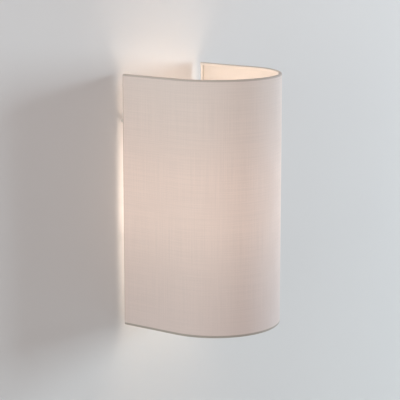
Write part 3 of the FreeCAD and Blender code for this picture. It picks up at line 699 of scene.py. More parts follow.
FINISHES: dict[str, Finish] = {
    "white_plate": PowderCoat((0.78, 0.76, 0.73), (0.70, 0.68, 0.65), 0.42, grain_scale=700.0,
                              grain_depth=0.00003, coat=0.1),
    "zinc_steel": BareMetal((0.66, 0.67, 0.69), (0.50, 0.52, 0.56), 0.33, mottle_scale=60.0,
                            grain_scale=700.0, stretch=(1.0, 6.0, 1.0)),
    "brass_parts": BareMetal((0.80, 0.62, 0.30), (0.62, 0.45, 0.20), 0.30, mottle_scale=80.0,
                             grain_depth=0.00001),
    "plated_screws": BareMetal((0.74, 0.74, 0.73), (0.55, 0.55, 0.56), 0.28, mottle_scale=120.0,
                               grain_scale=1500.0, grain_depth=0.00001, stretch=(1.0, 1.0, 5.0)),
    "natural_nylon": Finish((0.80, 0.78, 0.70), (0.72, 0.69, 0.60), 0.45, grain_scale=1200.0),
    "white_cover": Finish((0.80, 0.79, 0.77), (0.74, 0.73, 0.71), 0.48, grain_scale=1800.0,
                          grain_depth=0.00003),
    "grey_rubber": Finish((0.10, 0.10, 0.10), (0.06, 0.06, 0.065), 0.75, grain_scale=1500.0),
    "brown_wire": Sheath((0.16, 0.07, 0.03), (0.12, 0.05, 0.02)),
    "blue_wire": Sheath((0.03, 0.12, 0.38), (0.02, 0.09, 0.30)),
    "green_wire": StripedSheath((0.04, 0.26, 0.06), (0.03, 0.20, 0.05)),
    "holder_white": Finish((0.80, 0.78, 0.74), (0.74, 0.72, 0.67), 0.32, grain_scale=1300.0, coat=0.15),
    "porcelain": Finish((0.82, 0.81, 0.78), (0.76, 0.74, 0.70), 0.22, grain_scale=500.0, coat=0.4),
    "tip_solder": BareMetal((0.62, 0.61, 0.60), (0.48, 0.47, 0.46), 0.38, mottle_scale=150.0,
                            grain_scale=800.0, grain_depth=0.00004),
    "black_glass": Finish((0.02, 0.02, 0.022), (0.012, 0.012, 0.014), 0.12, grain_scale=400.0,
                          coat=0.5),
    "bulb_nickel": BareMetal((0.72, 0.70, 0.66), (0.56, 0.54, 0.50), 0.27, mottle_scale=70.0,
                             stretch=(1.0, 1.0, 6.0)),
    # the bulb's plastic collar gets a painted glow like the dome's, weaker towards its lower end
    "bulb_body": LitOpal((0.80, 0.79, 0.77), (0.74, 0.73, 0.71), 0.38, grain_scale=1600.0, coat=0.1,
                         rim_z=-0.048, rim_height=0.034, rim_share=0.45),
    "opal_dome": LitOpal((0.88, 0.84, 0.78), (0.84, 0.79, 0.72), 0.35, grain_depth=0.00001),
    "board_white": Finish((0.78, 0.78, 0.76), (0.70, 0.70, 0.68), 0.40, mottle_scale=60.0),
    "led_yellow": Finish((0.80, 0.60, 0.10), (0.72, 0.50, 0.06), 0.30, mottle_scale=300.0, coat=0.3),
    "board_green": Finish((0.03, 0.16, 0.06), (0.02, 0.11, 0.04), 0.35, mottle_scale=150.0, coat=0.3),
    "shade_cloth": LitCloth((0.615, 0.605, 0.60), (0.575, 0.565, 0.56), 0.92, grain_depth=0.00006),
    "hem_cloth": LitCloth((0.84, 0.81, 0.77), (0.80, 0.77, 0.73), 0.92, grain_depth=0.00006,
                          haze_above=(0.14, 0.10, 0.07), haze_below=(0.07, 0.05, 0.035),
                          glow=(0.14, 0.10, 0.07), rim_band=0.0009, bottom_band=0.0009,
                          back_band=-1.0),
    "shade_liner": LitLiner((0.84, 0.80, 0.76), (0.81, 0.77, 0.72), 0.55, mottle_scale=9.0,
                            grain_scale=260.0, grain_depth=0.00004, stretch=(1.0, 1.0, 0.15)),
    "frame_wire": PowderCoat((0.76, 0.74, 0.70), (0.68, 0.66, 0.62), 0.40),
}


class Palette:
    """The finished materials, by the record's material slots."""

    def __init__(self, effects: Effects) -> None:
        """Builds every finish once."""
        self.materials = {slot: finish.build(slot, effects) for slot, finish in FINISHES.items()}

    def dress(self, frame: dict) -> None:
        """Gives each CAD node the finish of its slot.
        """
        for entry in frame["record"]["subparts"]:
            node = frame["nodes"][entry["node"]]
            for slot in node.material_slots:
                slot.material = self.materials[entry["material_slot"]]


# ------------------------------------------------------------------ making pieces
@dataclass
class Workshop:
    """Makes finished, static pieces and gives them to the frame."""

    palette: Palette

    @staticmethod
    def piece(name: str, mesh: bpy.types.Mesh) -> bpy.types.Object:
        """Puts a mesh in the scene as one piece at the origin.

        Args:
            name: the piece's name.
            mesh: its mesh.

        Returns:
            The piece.
        """
        piece = bpy.data.objects.new(name, mesh)
        bpy.context.scene.collection.objects.link(piece)
        return piece

    @staticmethod
    def settle(piece: bpy.types.Object, modifier: bpy.types.Modifier) -> None:
        """Turns what a modifier makes into the piece's own plain mesh.

        Args:
            piece: the piece.
            modifier: its only modifier, which is removed.
        """
        mesh = bpy.data.meshes.new_from_object(
            piece.evaluated_get(bpy.context.evaluated_depsgraph_get()))
        mesh.name = piece.name
        piece.modifiers.remove(modifier)
        old = piece.data
        piece.data = mesh
        bpy.data.meshes.remove(old)

    def grown(self, name: str, tree: bpy.types.NodeTree, values: dict[str, Value],
              points: list[Vector] | None = None) -> bpy.types.Object:
        """Runs a geometry tree and keeps what it makes as a plain mesh.

        Args:
            name: the piece's name.
            tree: the geometry node tree.
            values: its named inputs.
            points: where the tree puts its copies, if it takes places.

        Returns:
            The piece, with no modifier left.
        """
        places = bpy.data.meshes.new(name + "_places")
        places.from_pydata([tuple(point) for point in points or []], [], [])
        piece = self.piece(name, places)
        modifier = piece.modifiers.new("grow", "NODES")
        modifier.node_group = tree
        sockets = {s.name: s.identifier for s in tree.interface.items_tree if s.in_out == "INPUT"}
        for key, value in values.items():
            modifier[sockets[key]] = value
        self.settle(piece, modifier)
        return piece

    def thicken(self, piece: bpy.types.Object, thickness: float) -> None:
        """Gives a sheet its thickness, half to each side.

        Args:
            piece: the sheet.
            thickness: its whole thickness.
        """
        solid = piece.modifiers.new("thickness", "SOLIDIFY")
        solid.thickness = thickness
        solid.offset = 0.0
        solid.use_even_offset = True
        self.settle(piece, solid)

    @staticmethod
    def smooth(piece: bpy.types.Object, angle: float = math.radians(40)) -> None:
        """Smooth shading with sharp edges where faces meet at more than the angle."""
        piece.data.shade_smooth()
        piece.data.set_sharp_from_angle(angle=angle)

    @staticmethod
    def hand_over(piece: bpy.types.Object, body: str, slot: str, *nodes: str) -> None:
        """Gives a piece to the frame and reports it.

        Args:
            piece: the piece.
            body: the body that it rides on.
            slot: the material slot of its finish; not used.
            nodes: the CAD nodes that it stands for, which are hidden.
        """
        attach(piece, body)
        if nodes:
            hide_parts(*nodes)
        LOG.info("%s: %d faces, rides on %s", piece.name, len(piece.data.polygons), body)


@dataclass
class Growths:
    """Geometry node trees for what repeats or follows a rule."""

    turn_columns: int = 49
    weld: float = 1e-6
    head_segments: int = 32
    head_rings: int = 24
    axis_guard: float = 1e-4
    cut_length_share: float = 2.4
    screw_depth_share: float = 0.35
    screw_chamfer_share: float = 0.6
    screw_rows: int = 60
    rib_facets: int = 12

    def __post_init__(self) -> None:
        """Builds the trees."""
        self.cloth = self._cloth()
        self.rods = self._rods()
        self.screws = self._screws()
        self.ribs = self._ribs()

    @staticmethod
    def _new(name: str) -> Tree:
        """Starts an empty geometry node tree."""
        return Tree(bpy.data.node_groups.new(name, "GeometryNodeTree"))

    @staticmethod
    def _end(t: Tree, geometry: Value, material: Value) -> bpy.types.NodeTree:
        """Realizes copies, sets the material and closes the tree.

        Args:
            t: the tree.
            geometry: what it has made.
            material: the finish.

        Returns:
            The finished tree.
        """
        real = t.add("GeometryNodeRealizeInstances", {"Geometry": geometry})
        dressed = t.add("GeometryNodeSetMaterial", {"Geometry": real, "Material": material})
        t.named_outputs({"Geometry": (Socket.GEOMETRY, dressed.outputs[0])})
        return t.tree

    @staticmethod
    def _here(t: Tree) -> list[bpy.types.NodeSocket]:
        """Gives x, y and z of each point."""
        return t.parts_of(t.add("GeometryNodeInputPosition"))

    @staticmethod
    def _at_places(t: Tree, places: Value, copy: Value, angles: Value) -> bpy.types.NodeSocket:
        """Puts a turned copy at each place."""
        turned = t.add("FunctionNodeEulerToRotation", {0: angles})
        return t.add("GeometryNodeInstanceOnPoints", {"Points": places, "Instance": copy,
                                                      "Rotation": turned}).outputs[0]

    def _cloth(self) -> bpy.types.NodeTree:
        """A sheet round the shade's U plan that may fold over the ring at its rims.

        Returns:
            The tree, with the U's sizes, the sheet's ends up the cloth and its rows as inputs.
        """
        t = self._new("cloth_round_u")
        given = t.named_inputs({
            "Geometry": Socket.GEOMETRY, "Half Width": Socket.FLOAT, "Flank": Socket.FLOAT,
            "Nose Y": Socket.FLOAT, "From": Socket.FLOAT, "To": Socket.FLOAT, "Crowding": Socket.FLOAT,
            "Straight": Socket.FLOAT, "Roll": Socket.FLOAT, "Columns": Socket.INTEGER,
            "Rows": Socket.INTEGER, "Material": Socket.MATERIAL})
        grid = t.add("GeometryNodeMeshGrid", {"Size X": 1.0, "Size Y": 1.0,
                                              "Vertices X": given["Columns"],
                                              "Vertices Y": given["Rows"]})
        x, y, _ = self._here(t)
        half = given["Half Width"]
        quarter = t.math("MULTIPLY", half, math.pi / 2)
        round_half = t.math("ADD", quarter, given["Flank"])
        along = t.math("MULTIPLY", t.math("MULTIPLY", x, 2.0), round_half)
        turn = t.math("DIVIDE", along, half)
        turn = t.math("MAXIMUM", t.math("MINIMUM", turn, math.pi / 2), -math.pi / 2)
        flank = t.math("MAXIMUM", t.math("SUBTRACT", t.math("ABSOLUTE", along), quarter), 0.0)

        w = t.math("MULTIPLY", y, 2.0)
        rest = t.math("POWER", t.math("SUBTRACT", 1.0, t.math("ABSOLUTE", w)), given["Crowding"])
        shaped = t.math("MULTIPLY", t.math("SIGN", w), t.math("SUBTRACT", 1.0, rest))
        middle = t.math("MULTIPLY", t.math("ADD", given["From"], given["To"]), 0.5)
        reach = t.math("MULTIPLY", t.math("SUBTRACT", given["To"], given["From"]), 0.5)
        up = t.math("MULTIPLY_ADD", shaped, reach, middle)
        straight, roll = given["Straight"], given["Roll"]
        over = t.math("MAXIMUM", t.math("SUBTRACT", t.math("ABSOLUTE", up), straight), 0.0)
        fold = t.math("MINIMUM", t.math("DIVIDE", over, roll), math.pi)
        leg = t.math("MAXIMUM", t.math("SUBTRACT", over, t.math("MULTIPLY", roll, math.pi)), 0.0)
        inset = t.math("MULTIPLY", roll, t.math("SUBTRACT", 1.0, t.math("COSINE", fold)))
        level = t.math("MINIMUM", t.math("ABSOLUTE", up), straight)
        level = t.math("MULTIPLY_ADD", roll, t.math("SINE", fold), level)
        z = t.math("MULTIPLY", t.math("SIGN", up), t.math("SUBTRACT", level, leg))

        radius = t.math("SUBTRACT", half, inset)
        place_x = t.math("MULTIPLY", radius, t.math("SINE", turn))
        nose = t.math("SUBTRACT", given["Nose Y"], t.math("MULTIPLY", radius, t.math("COSINE", turn)))
        placed = t.xyz(place_x, t.math("ADD", nose, flank), z)
        map_at = t.add("GeometryNodeCaptureAttribute", domain="POINT")
        map_at.capture_items.new("VECTOR", "Map")
        t.feed(map_at.inputs["Geometry"], grid.outputs["Mesh"])
        t.feed(map_at.inputs["Map"], t.xyz(along, up, 0.0))
        moved = t.add("GeometryNodeSetPosition", {"Geometry": map_at.outputs["Geometry"],
                                                  "Position": placed})
        stored = t.add("GeometryNodeStoreNamedAttribute", {"Geometry": moved, "Name": "UVMap"},
                       data_type="FLOAT2", domain="CORNER")
        t.feed(next(s for s in stored.inputs if s.name == "Value" and s.enabled), map_at.outputs["Map"])
        return self._end(t, stored.outputs[0], given["Material"])

    def _threaded(self, t: Tree, radius: Value, depth: Value, pitch: Value, length: Value,
                  chamfer: Value, rows: Value) -> bpy.types.NodeSocket:
        """Makes a closed rod from z = 0 up, with screw turns and chamfered ends.

        The grid's first and last rows lie on the axis and close the ends; the rows next to them
        are the ends' rims.

        Args:
            t: the tree.
            radius: the thread's outer radius.
            depth: its depth.
            pitch: its pitch.
            length: the rod's length.
            chamfer: how far the ends are chamfered.
            rows: how many rows of points the grid has.

        Returns:
            The rod.
        """
        grid = t.add("GeometryNodeMeshGrid", {"Size X": 1.0, "Size Y": 1.0,
                                              "Vertices X": self.turn_columns, "Vertices Y": rows})
        x, y, _ = self._here(t)
        turn = t.math("MULTIPLY", x, math.tau)
        row = t.math("MULTIPLY", t.math("ADD", y, 0.5), t.math("SUBTRACT", rows, 1.0))
        share = t.math("DIVIDE", t.math("SUBTRACT", row, 1.0), t.math("SUBTRACT", rows, 3.0))
        share = t.math("MAXIMUM", t.math("MINIMUM", share, 1.0), 0.0)
        z = t.math("MULTIPLY", share, length)
        phase = t.math("SUBTRACT", t.math("DIVIDE", z, pitch), t.math("DIVIDE", turn, math.tau))
        wave = t.math("MULTIPLY_ADD", t.math("COSINE", t.math("MULTIPLY", phase, math.tau)), -0.5, 0.5)
        r = t.math("SUBTRACT", radius, t.math("MULTIPLY", wave, depth))
        to_end = t.math("MINIMUM", z, t.math("SUBTRACT", length, z))
        r = t.math("MINIMUM", r, t.math("ADD", t.math("SUBTRACT", radius, chamfer), to_end))
        last = t.math("SUBTRACT", t.math("SUBTRACT", rows, 1.5), row)
        inside = t.math("MULTIPLY", t.math("GREATER_THAN", row, 0.5), t.math("GREATER_THAN", last, 0.0))
        r = t.math("MULTIPLY", r, inside)
        placed = t.xyz(t.math("MULTIPLY", r, t.math("COSINE", turn)),
                       t.math("MULTIPLY", r, t.math("SINE", turn)), z)
        moved = t.add("GeometryNodeSetPosition", {"Geometry": grid.outputs["Mesh"], "Position": placed})
        closed = t.add("GeometryNodeMergeByDistance", {"Geometry": moved, "Distance": self.weld})
        return closed.outputs[0]

    def _rods(self) -> bpy.types.NodeTree:
        """Threaded rods at given places.

        Returns:
            The tree.
        """
        t = self._new("threaded_rods")
        given = t.named_inputs({
            "Geometry": Socket.GEOMETRY, "Radius": Socket.FLOAT, "Depth": Socket.FLOAT,
            "Pitch": Socket.FLOAT, "Length": Socket.FLOAT, "Chamfer": Socket.FLOAT,
            "Rows": Socket.INTEGER, "Turned": Socket.VECTOR, "Material": Socket.MATERIAL})
        rod = self._threaded(t, given["Radius"], given["Depth"], given["Pitch"], given["Length"],
                             given["Chamfer"], given["Rows"])
        copies = self._at_places(t, given["Geometry"], rod, given["Turned"])
        return self._end(t, copies, given["Material"])

    def _pan_head(self, t: Tree, radius: Value, height: Value, slot_width: Value,
                  slot_depth: Value) -> bpy.types.NodeSocket:
        """Makes a slotted pan head that stands up from z = 0: a ball drawn out towards a box.

        Args:
            t: the tree.
            radius: the head's radius.
            height: the head's height.
            slot_width: width of the slot.
            slot_depth: depth of the slot.

        Returns:
            The head.
        """
        ball = t.add("GeometryNodeMeshUVSphere", {"Segments": self.head_segments,
                                                  "Rings": self.head_rings, "Radius": 1.0})
        x, y, z = self._here(t)
        across = t.math("SQRT", t.math("ADD", t.math("MULTIPLY", x, x), t.math("MULTIPLY", y, y)))
        off_axis = t.math("MAXIMUM", across, self.axis_guard)
        spread = t.math("MULTIPLY", radius, t.math("POWER", off_axis, -0.5))
        rise = t.math("MULTIPLY", height, t.math("SQRT", t.math("MAXIMUM", z, 0.0)))
        squared = t.xyz(t.math("MULTIPLY", x, spread), t.math("MULTIPLY", y, spread), rise)
        pan = t.add("GeometryNodeSetPosition", {"Geometry": ball.outputs["Mesh"], "Position": squared})
        cut = t.xyz(t.math("MULTIPLY", radius, self.cut_length_share), slot_width,
                    t.math("MULTIPLY", slot_depth, 2.0))
        cutter = t.add("GeometryNodeMeshCube", {"Size": cut})
        slot = t.add("GeometryNodeTransform", {"Geometry": cutter.outputs["Mesh"],
                                               "Translation": t.xyz(0.0, 0.0, height)})
        head = t.add("GeometryNodeMeshBoolean", {"Mesh 1": pan.outputs[0], "Mesh 2": slot.outputs[0]},
                     operation="DIFFERENCE", solver="EXACT")
        return head.outputs["Mesh"]

    def _screws(self) -> bpy.types.NodeTree:
        """Slotted pan-head screws at given places: the head stands up, the shank goes down.

        Returns:
            The tree.
        """
        t = self._new("slotted_screws")
        given = t.named_inputs({
            "Geometry": Socket.GEOMETRY, "Head Radius": Socket.FLOAT, "Head Height": Socket.FLOAT,
            "Slot Width": Socket.FLOAT, "Slot Depth": Socket.FLOAT, "Shank Radius": Socket.FLOAT,
            "Shank Length": Socket.FLOAT, "Pitch": Socket.FLOAT, "Turned": Socket.VECTOR,
            "Material": Socket.MATERIAL})
        head = self._pan_head(t, given["Head Radius"], given["Head Height"], given["Slot Width"],
                              given["Slot Depth"])
        depth = t.math("MULTIPLY", given["Pitch"], self.screw_depth_share)
        chamfer = t.math("MULTIPLY", given["Pitch"], self.screw_chamfer_share)
        shank = self._threaded(t, given["Shank Radius"], depth, given["Pitch"], given["Shank Length"],
                               chamfer, self.screw_rows)
        down = t.xyz(0.0, 0.0, t.math("MULTIPLY", given["Shank Length"], -1.0))
        below = t.add("GeometryNodeTransform", {"Geometry": shank, "Translation": down})
        screw = t.add("GeometryNodeJoinGeometry")
        t.feed(screw.inputs[0], head)
        t.feed(screw.inputs[0], below)
        copies = self._at_places(t, given["Geometry"], screw, given["Turned"])
        return self._end(t, copies, given["Material"])

    def _ribs(self) -> bpy.types.NodeTree:
        """Upright half-round ribs in a ring round the Z axis of each given place.

        Returns:
            The tree.
        """
        t = self._new("ring_of_ribs")
        given = t.named_inputs({
            "Geometry": Socket.GEOMETRY, "Radius": Socket.FLOAT, "Count": Socket.INTEGER,
            "Rib Radius": Socket.FLOAT, "Rib Length": Socket.FLOAT, "Material": Socket.MATERIAL})
        ring = t.add("GeometryNodeMeshCircle", {"Vertices": given["Count"], "Radius": given["Radius"]})
        ball = t.add("GeometryNodeMeshUVSphere", {"Segments": self.rib_facets, "Rings": self.rib_facets,
                                                  "Radius": given["Rib Radius"]})
        x, y, z = self._here(t)
        lift = t.math("SUBTRACT", t.math("MULTIPLY", given["Rib Length"], 0.5), given["Rib Radius"])
        drawn = t.xyz(x, y, t.math("MULTIPLY_ADD", t.math("SIGN", z), lift, z))
        rib = t.add("GeometryNodeSetPosition", {"Geometry": ball.outputs["Mesh"], "Position": drawn})
        copies = t.add("GeometryNodeInstanceOnPoints", {"Points": ring.outputs["Mesh"], "Instance": rib})
        placed = t.add("GeometryNodeInstanceOnPoints", {"Points": given["Geometry"],
                                                        "Instance": copies})
        return self._end(t, placed.outputs[0], given["Material"])


# ------------------------------------------------------------------ sub-assemblies
@dataclass
class Shade:
    """The fabric shade: cloth, lining and hems; its wires are the CAD's own."""

    workshop: Workshop
    growths: Growths
    height: float = 0.300
    width: float = 0.156
    flank: float = 0.076
    wall_gap: float = 0.0065
    cloth_thickness: float = 0.0005
    lining_thickness: float = 0.0005
    lining_inset: float = 0.00075
    lining_short: float = 0.0002
    roll_radius: float = 0.00205
    hem_leg: float = 0.0013
    side_leg_inset: float = 0.00435
    side_fold_radius: float = 0.0015
    side_lap: float = 0.0001
    side_fold_steps: int = 8
    columns: int = 132
    cloth_rows: int = 61
    hem_rows: int = 17
    plain_rows: int = 31
    rim_crowding: float = 3.0
    even_crowding: float = 1.0

    @property
    def nose_y(self) -> float:
        """Where the straight sides end and the half-round front begins."""
        return -(self.wall_gap + self.flank)

    @property
    def straight(self) -> float:
        """Half-height of the cloth's upright part, up to where it turns over the ring."""
        return self.height / 2 - self.roll_radius - self.cloth_thickness / 2

    @property
    def quarter_roll(self) -> float:
        """Length of cloth in a quarter turn over the ring."""
        return self.roll_radius * math.pi / 2

    def sheet(self, name: str, slot: str, start: float, end: float, inset: float, crowding: float,
              rows: int, thickness: float) -> bpy.types.Object:
        """Makes one sheet round the U.

        Args:
            name: the piece's name.
            slot: the material slot of its finish.
            start: where it starts, measured up the cloth from mid-height.
            end: where it ends.
            inset: depth of its middle plane inside the shade's outer face.
            crowding: how strongly its rows gather towards both ends, 1 for evenly.
            rows: how many rows of points it has.
            thickness: the sheet's thickness.

        Returns:
            The piece.
        """
        half = self.width / 2 - inset
        piece = self.workshop.grown(name, self.growths.cloth, {
            "Half Width": half, "Flank": self.flank, "Nose Y": self.nose_y, "From": start, "To": end,
            "Crowding": crowding, "Straight": self.straight, "Roll": self.roll_radius,
            "Columns": self.columns, "Rows": rows, "Material": self.workshop.palette.materials[slot]})
        self.workshop.thicken(piece, thickness)
        self.workshop.smooth(piece)
        return piece

    def build_cloth(self) -> None:
        """The outer cloth, turned over both rings to the top of its fold, and the hems inside."""
        middle = self.cloth_thickness / 2
        top = self.straight + self.quarter_roll
        cloth = self.sheet("shade_cloth", "shade_cloth", -top, top, middle, self.rim_crowding,
                           self.cloth_rows, self.cloth_thickness)
        self.workshop.hand_over(cloth, "shade", "shade_cloth", "shade_fabric")
        hems = []
        for rim in Rim:
            inner = top + self.quarter_roll + self.hem_leg
            low, high = sorted((rim.value * top, rim.value * inner))
            name = f"{rim.name.lower()}_hem"
            hem = self.sheet(name + "_fold", "hem_cloth", low, high, middle, self.even_crowding,
                             self.hem_rows, self.cloth_thickness)
            self.workshop.hand_over(hem, "shade", "hem_cloth", name)
            hems.append(hem)
        hems += [self.build_side_hem(side) for side in Side]

    def side_section(self, inner_y: float) -> list[tuple[float, float]]:
        """The plan of a side hem on the +X side, from the cloth's back edge round the upright.

        Args:
            inner_y: where the CAD hem's inner leg ends.

        Returns:
            Its points, each x and y.
        """
        outer = self.width / 2 - self.cloth_thickness
        leg_x = self.width / 2 - self.side_leg_inset
        back_y = -self.wall_gap - self.cloth_thickness / 2
        radius = self.side_fold_radius
        section = [(outer - self.side_lap, back_y)]
        for step in range(self.side_fold_steps + 1):
            angle = math.pi / 2 * step / self.side_fold_steps
            section.append((leg_x + radius - radius * math.sin(angle),
                            back_y - radius + radius * math.cos(angle)))
        section.append((leg_x, inner_y + self.side_lap))
        return section

    @staticmethod
    def lay_map(mesh: bpy.types.Mesh, section: list[tuple[float, float]]) -> None:
        """Gives a strip its map in metres, along its section and up.

        Args:
            mesh: the strip, whose points go row by row along the section.
            section: the section's points.
        """
        run = [0.0]
        for before, after in zip(section, section[1:]):
            run.append(run[-1] + math.dist(before, after))
        layer = mesh.uv_layers.new(name="UVMap")
        for corner in mesh.loops:
            height = mesh.vertices[corner.vertex_index].co.z
            layer.data[corner.index].uv = (run[corner.vertex_index % len(section)], height)

    def build_side_hem(self, side: Side) -> bpy.types.Object:
        """A strip turned round the upright at one back edge, between the rim hems.

        Args:
            side: which back edge.

        Returns:
            The piece.
        """
        name = f"{side.name.lower()}_side_hem"
        low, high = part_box(name)
        section = self.side_section(low.y)
        rows, wide = self.plain_rows, len(section)
        vertices = [(side.value * x, y, low.z + (high.z - low.z) * row / (rows - 1))
                    for row in range(rows) for x, y in section]
        faces = []
        for row in range(rows - 1):
            for place in range(wide - 1):
                first = row * wide + place
                loop = (first, first + 1, first + wide + 1, first + wide)
                faces.append(loop if side is Side.LEFT else loop[::-1])
        mesh = bpy.data.meshes.new(name + "_fold")
        mesh.from_pydata(vertices, [], faces)
        self.lay_map(mesh, section)
        mesh.materials.append(self.workshop.palette.materials["hem_cloth"])
        piece = self.workshop.piece(name + "_fold", mesh)
        self.workshop.thicken(piece, self.cloth_thickness)
        self.workshop.smooth(piece)
        self.workshop.hand_over(piece, "shade", "hem_cloth", name)
        return piece

    def build_lining(self) -> None:
        """The stiff liner that the cloth is stretched over."""
        reach = self.straight - self.lining_short
        liner = self.sheet("shade_liner_sheet", "shade_liner", -reach, reach, self.lining_inset,
                           self.even_crowding, self.plain_rows, self.lining_thickness)
        self.workshop.hand_over(liner, "shade", "shade_liner", "shade_lining")

    def build(self) -> None:
        """Makes the shade's soft pieces."""
        self.build_lining()
        self.build_cloth()


@dataclass
class Fasteners:
    """The screws and threaded studs on the back plate."""

    workshop: Workshop
    growths: Growths
    facing_out: Point = (math.pi / 2, 0.0, 0.0)
    head_radius: float = 0.0028
    head_height: float = 0.0020
    shank_radius: float = 0.0015
    slot_width_share: float = 0.28
    slot_depth_share: float = 0.5
    pitch: float = 0.0007
    stud_radius: float = 0.0020
    stud_depth_share: float = 0.55
    stud_chamfer: float = 0.0004
    stud_rows: int = 130

    def centres(self, node: str, radius: float) -> list[tuple[float, float]]:
        """Where a node's fasteners stand: in the middle of its box, or at its ends if it holds two.

        Args:
            node: the CAD node.
            radius: the fasteners' outer radius.

        Returns:
            Each one's x and z.
        """
        low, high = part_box(node)

        def places(first: float, last: float) -> list[float]:
            """Places along one side of the box."""
            holds_one = last - first < 3 * radius
            return [(first + last) / 2] if holds_one else [first + radius, last - radius]

        return [(x, z) for x in places(low.x, high.x) for z in places(low.z, high.z)]

    def build_screws(self, node: str, name: str) -> None:
        """Replaces a node of screws that are driven towards the wall.

        Args:
            node: the CAD node.
            name: the piece's name.
        """
        low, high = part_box(node)
        seat = low.y + self.head_height
        screws = self.workshop.grown(name, self.growths.screws, {
            "Head Radius": self.head_radius, "Head Height": self.head_height,
            "Slot Width": self.head_radius * self.slot_width_share,
            "Slot Depth": self.head_height * self.slot_depth_share, "Shank Radius": self.shank_radius,
            "Shank Length": high.y - seat, "Pitch": self.pitch, "Turned": self.facing_out,
            "Material": self.workshop.palette.materials["zinc_steel"]},
            [Vector((x, seat, z)) for x, z in self.centres(node, self.head_radius)])
        self.workshop.smooth(screws)
        self.workshop.hand_over(screws, "root", "zinc_steel", node)

    def build_studs(self, node: str, name: str) -> None:
        """Replaces a node of studs that stand out from the plate.

        Args:
            node: the CAD node.
            name: the piece's name.
        """
        low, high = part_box(node)
        studs = self.workshop.grown(name, self.growths.rods, {
            "Radius": self.stud_radius, "Depth": self.pitch * self.stud_depth_share,
            "Pitch": self.pitch, "Length": high.y - low.y, "Chamfer": self.stud_chamfer,
            "Rows": self.stud_rows, "Turned": self.facing_out,
            "Material": self.workshop.palette.materials["zinc_steel"]},
            [Vector((x, high.y, z)) for x, z in self.centres(node, self.stud_radius)])
        self.workshop.smooth(studs)
        self.workshop.hand_over(studs, "root", "zinc_steel", node)

    def build(self) -> None:
        """Makes every screw and stud."""
        self.build_screws("cover_screws", "cover_screw_pair")
        self.build_studs("arm_studs", "arm_stud_pair")
        self.build_studs("earth_stud", "earth_stud_thread")


@dataclass
class Lampholder:
    """Grip ribs round the lampholder's skirt."""

    workshop: Workshop
    growths: Growths
    skirt_radius: float = 0.0190
    rib_count: int = 40
    rib_radius: float = 0.0005
    rib_low: float = -0.0785
    rib_high: float = -0.0560

    def build(self) -> None:
        """Makes the ribs."""
        middle = Vector((0.0, LAMP_Y, (self.rib_low + self.rib_high) / 2))
        ribs = self.workshop.grown("skirt_ribs", self.growths.ribs, {
            "Radius": self.skirt_radius, "Count": self.rib_count, "Rib Radius": self.rib_radius,
            "Rib Length": self.rib_high - self.rib_low,
            "Material": self.workshop.palette.materials["holder_white"]}, [middle])
        self.workshop.smooth(ribs)
        self.workshop.hand_over(ribs, "root", "holder_white")


@dataclass
class Bulb:
    """The bulb's screw cap with its real turns."""

    workshop: Workshop
    growths: Growths
    pitch: float = 0.003629
    depth: float = 0.0011
    cap_radius: float = 0.0130
    chamfer: float = 0.0012
    rows: int = 110

    def build(self) -> None:
        """Makes the cap."""
        low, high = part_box("bulb_cap")
        cap = self.workshop.grown("bulb_cap_turns", self.growths.rods, {
            "Radius": self.cap_radius, "Depth": self.depth, "Pitch": self.pitch,
            "Length": high.z - low.z, "Chamfer": self.chamfer, "Rows": self.rows,
            "Turned": (0.0, 0.0, 0.0), "Material": self.workshop.palette.materials["bulb_nickel"]},
            [Vector((0.0, LAMP_Y, low.z))])
        self.workshop.smooth(cap)
        self.workshop.hand_over(cap, "bulb", "bulb_nickel", "bulb_cap")


# ------------------------------------------------------------------ surroundings
@dataclass(frozen=True)
class SoftLamp:
    """A round soft lamp that points at the object."""

    name: str
    at: Point
    size: float
    power: float
    colour: Colour
    aim: Point = (0.0, -0.08, 0.0)

    def build(self) -> None:
        """Hangs the lamp."""
        lamp = bpy.data.lights.new(self.name, "AREA")
        lamp.shape = "DISK"
        lamp.size = self.size
        lamp.energy = self.power
        lamp.color = self.colour
        hung = bpy.data.objects.new(self.name, lamp)
        hung.location = self.at
        way = Vector(self.aim) - Vector(self.at)
        hung.rotation_euler = way.to_track_quat("-Z", "Y").to_euler()
        bpy.context.scene.collection.objects.link(hung)


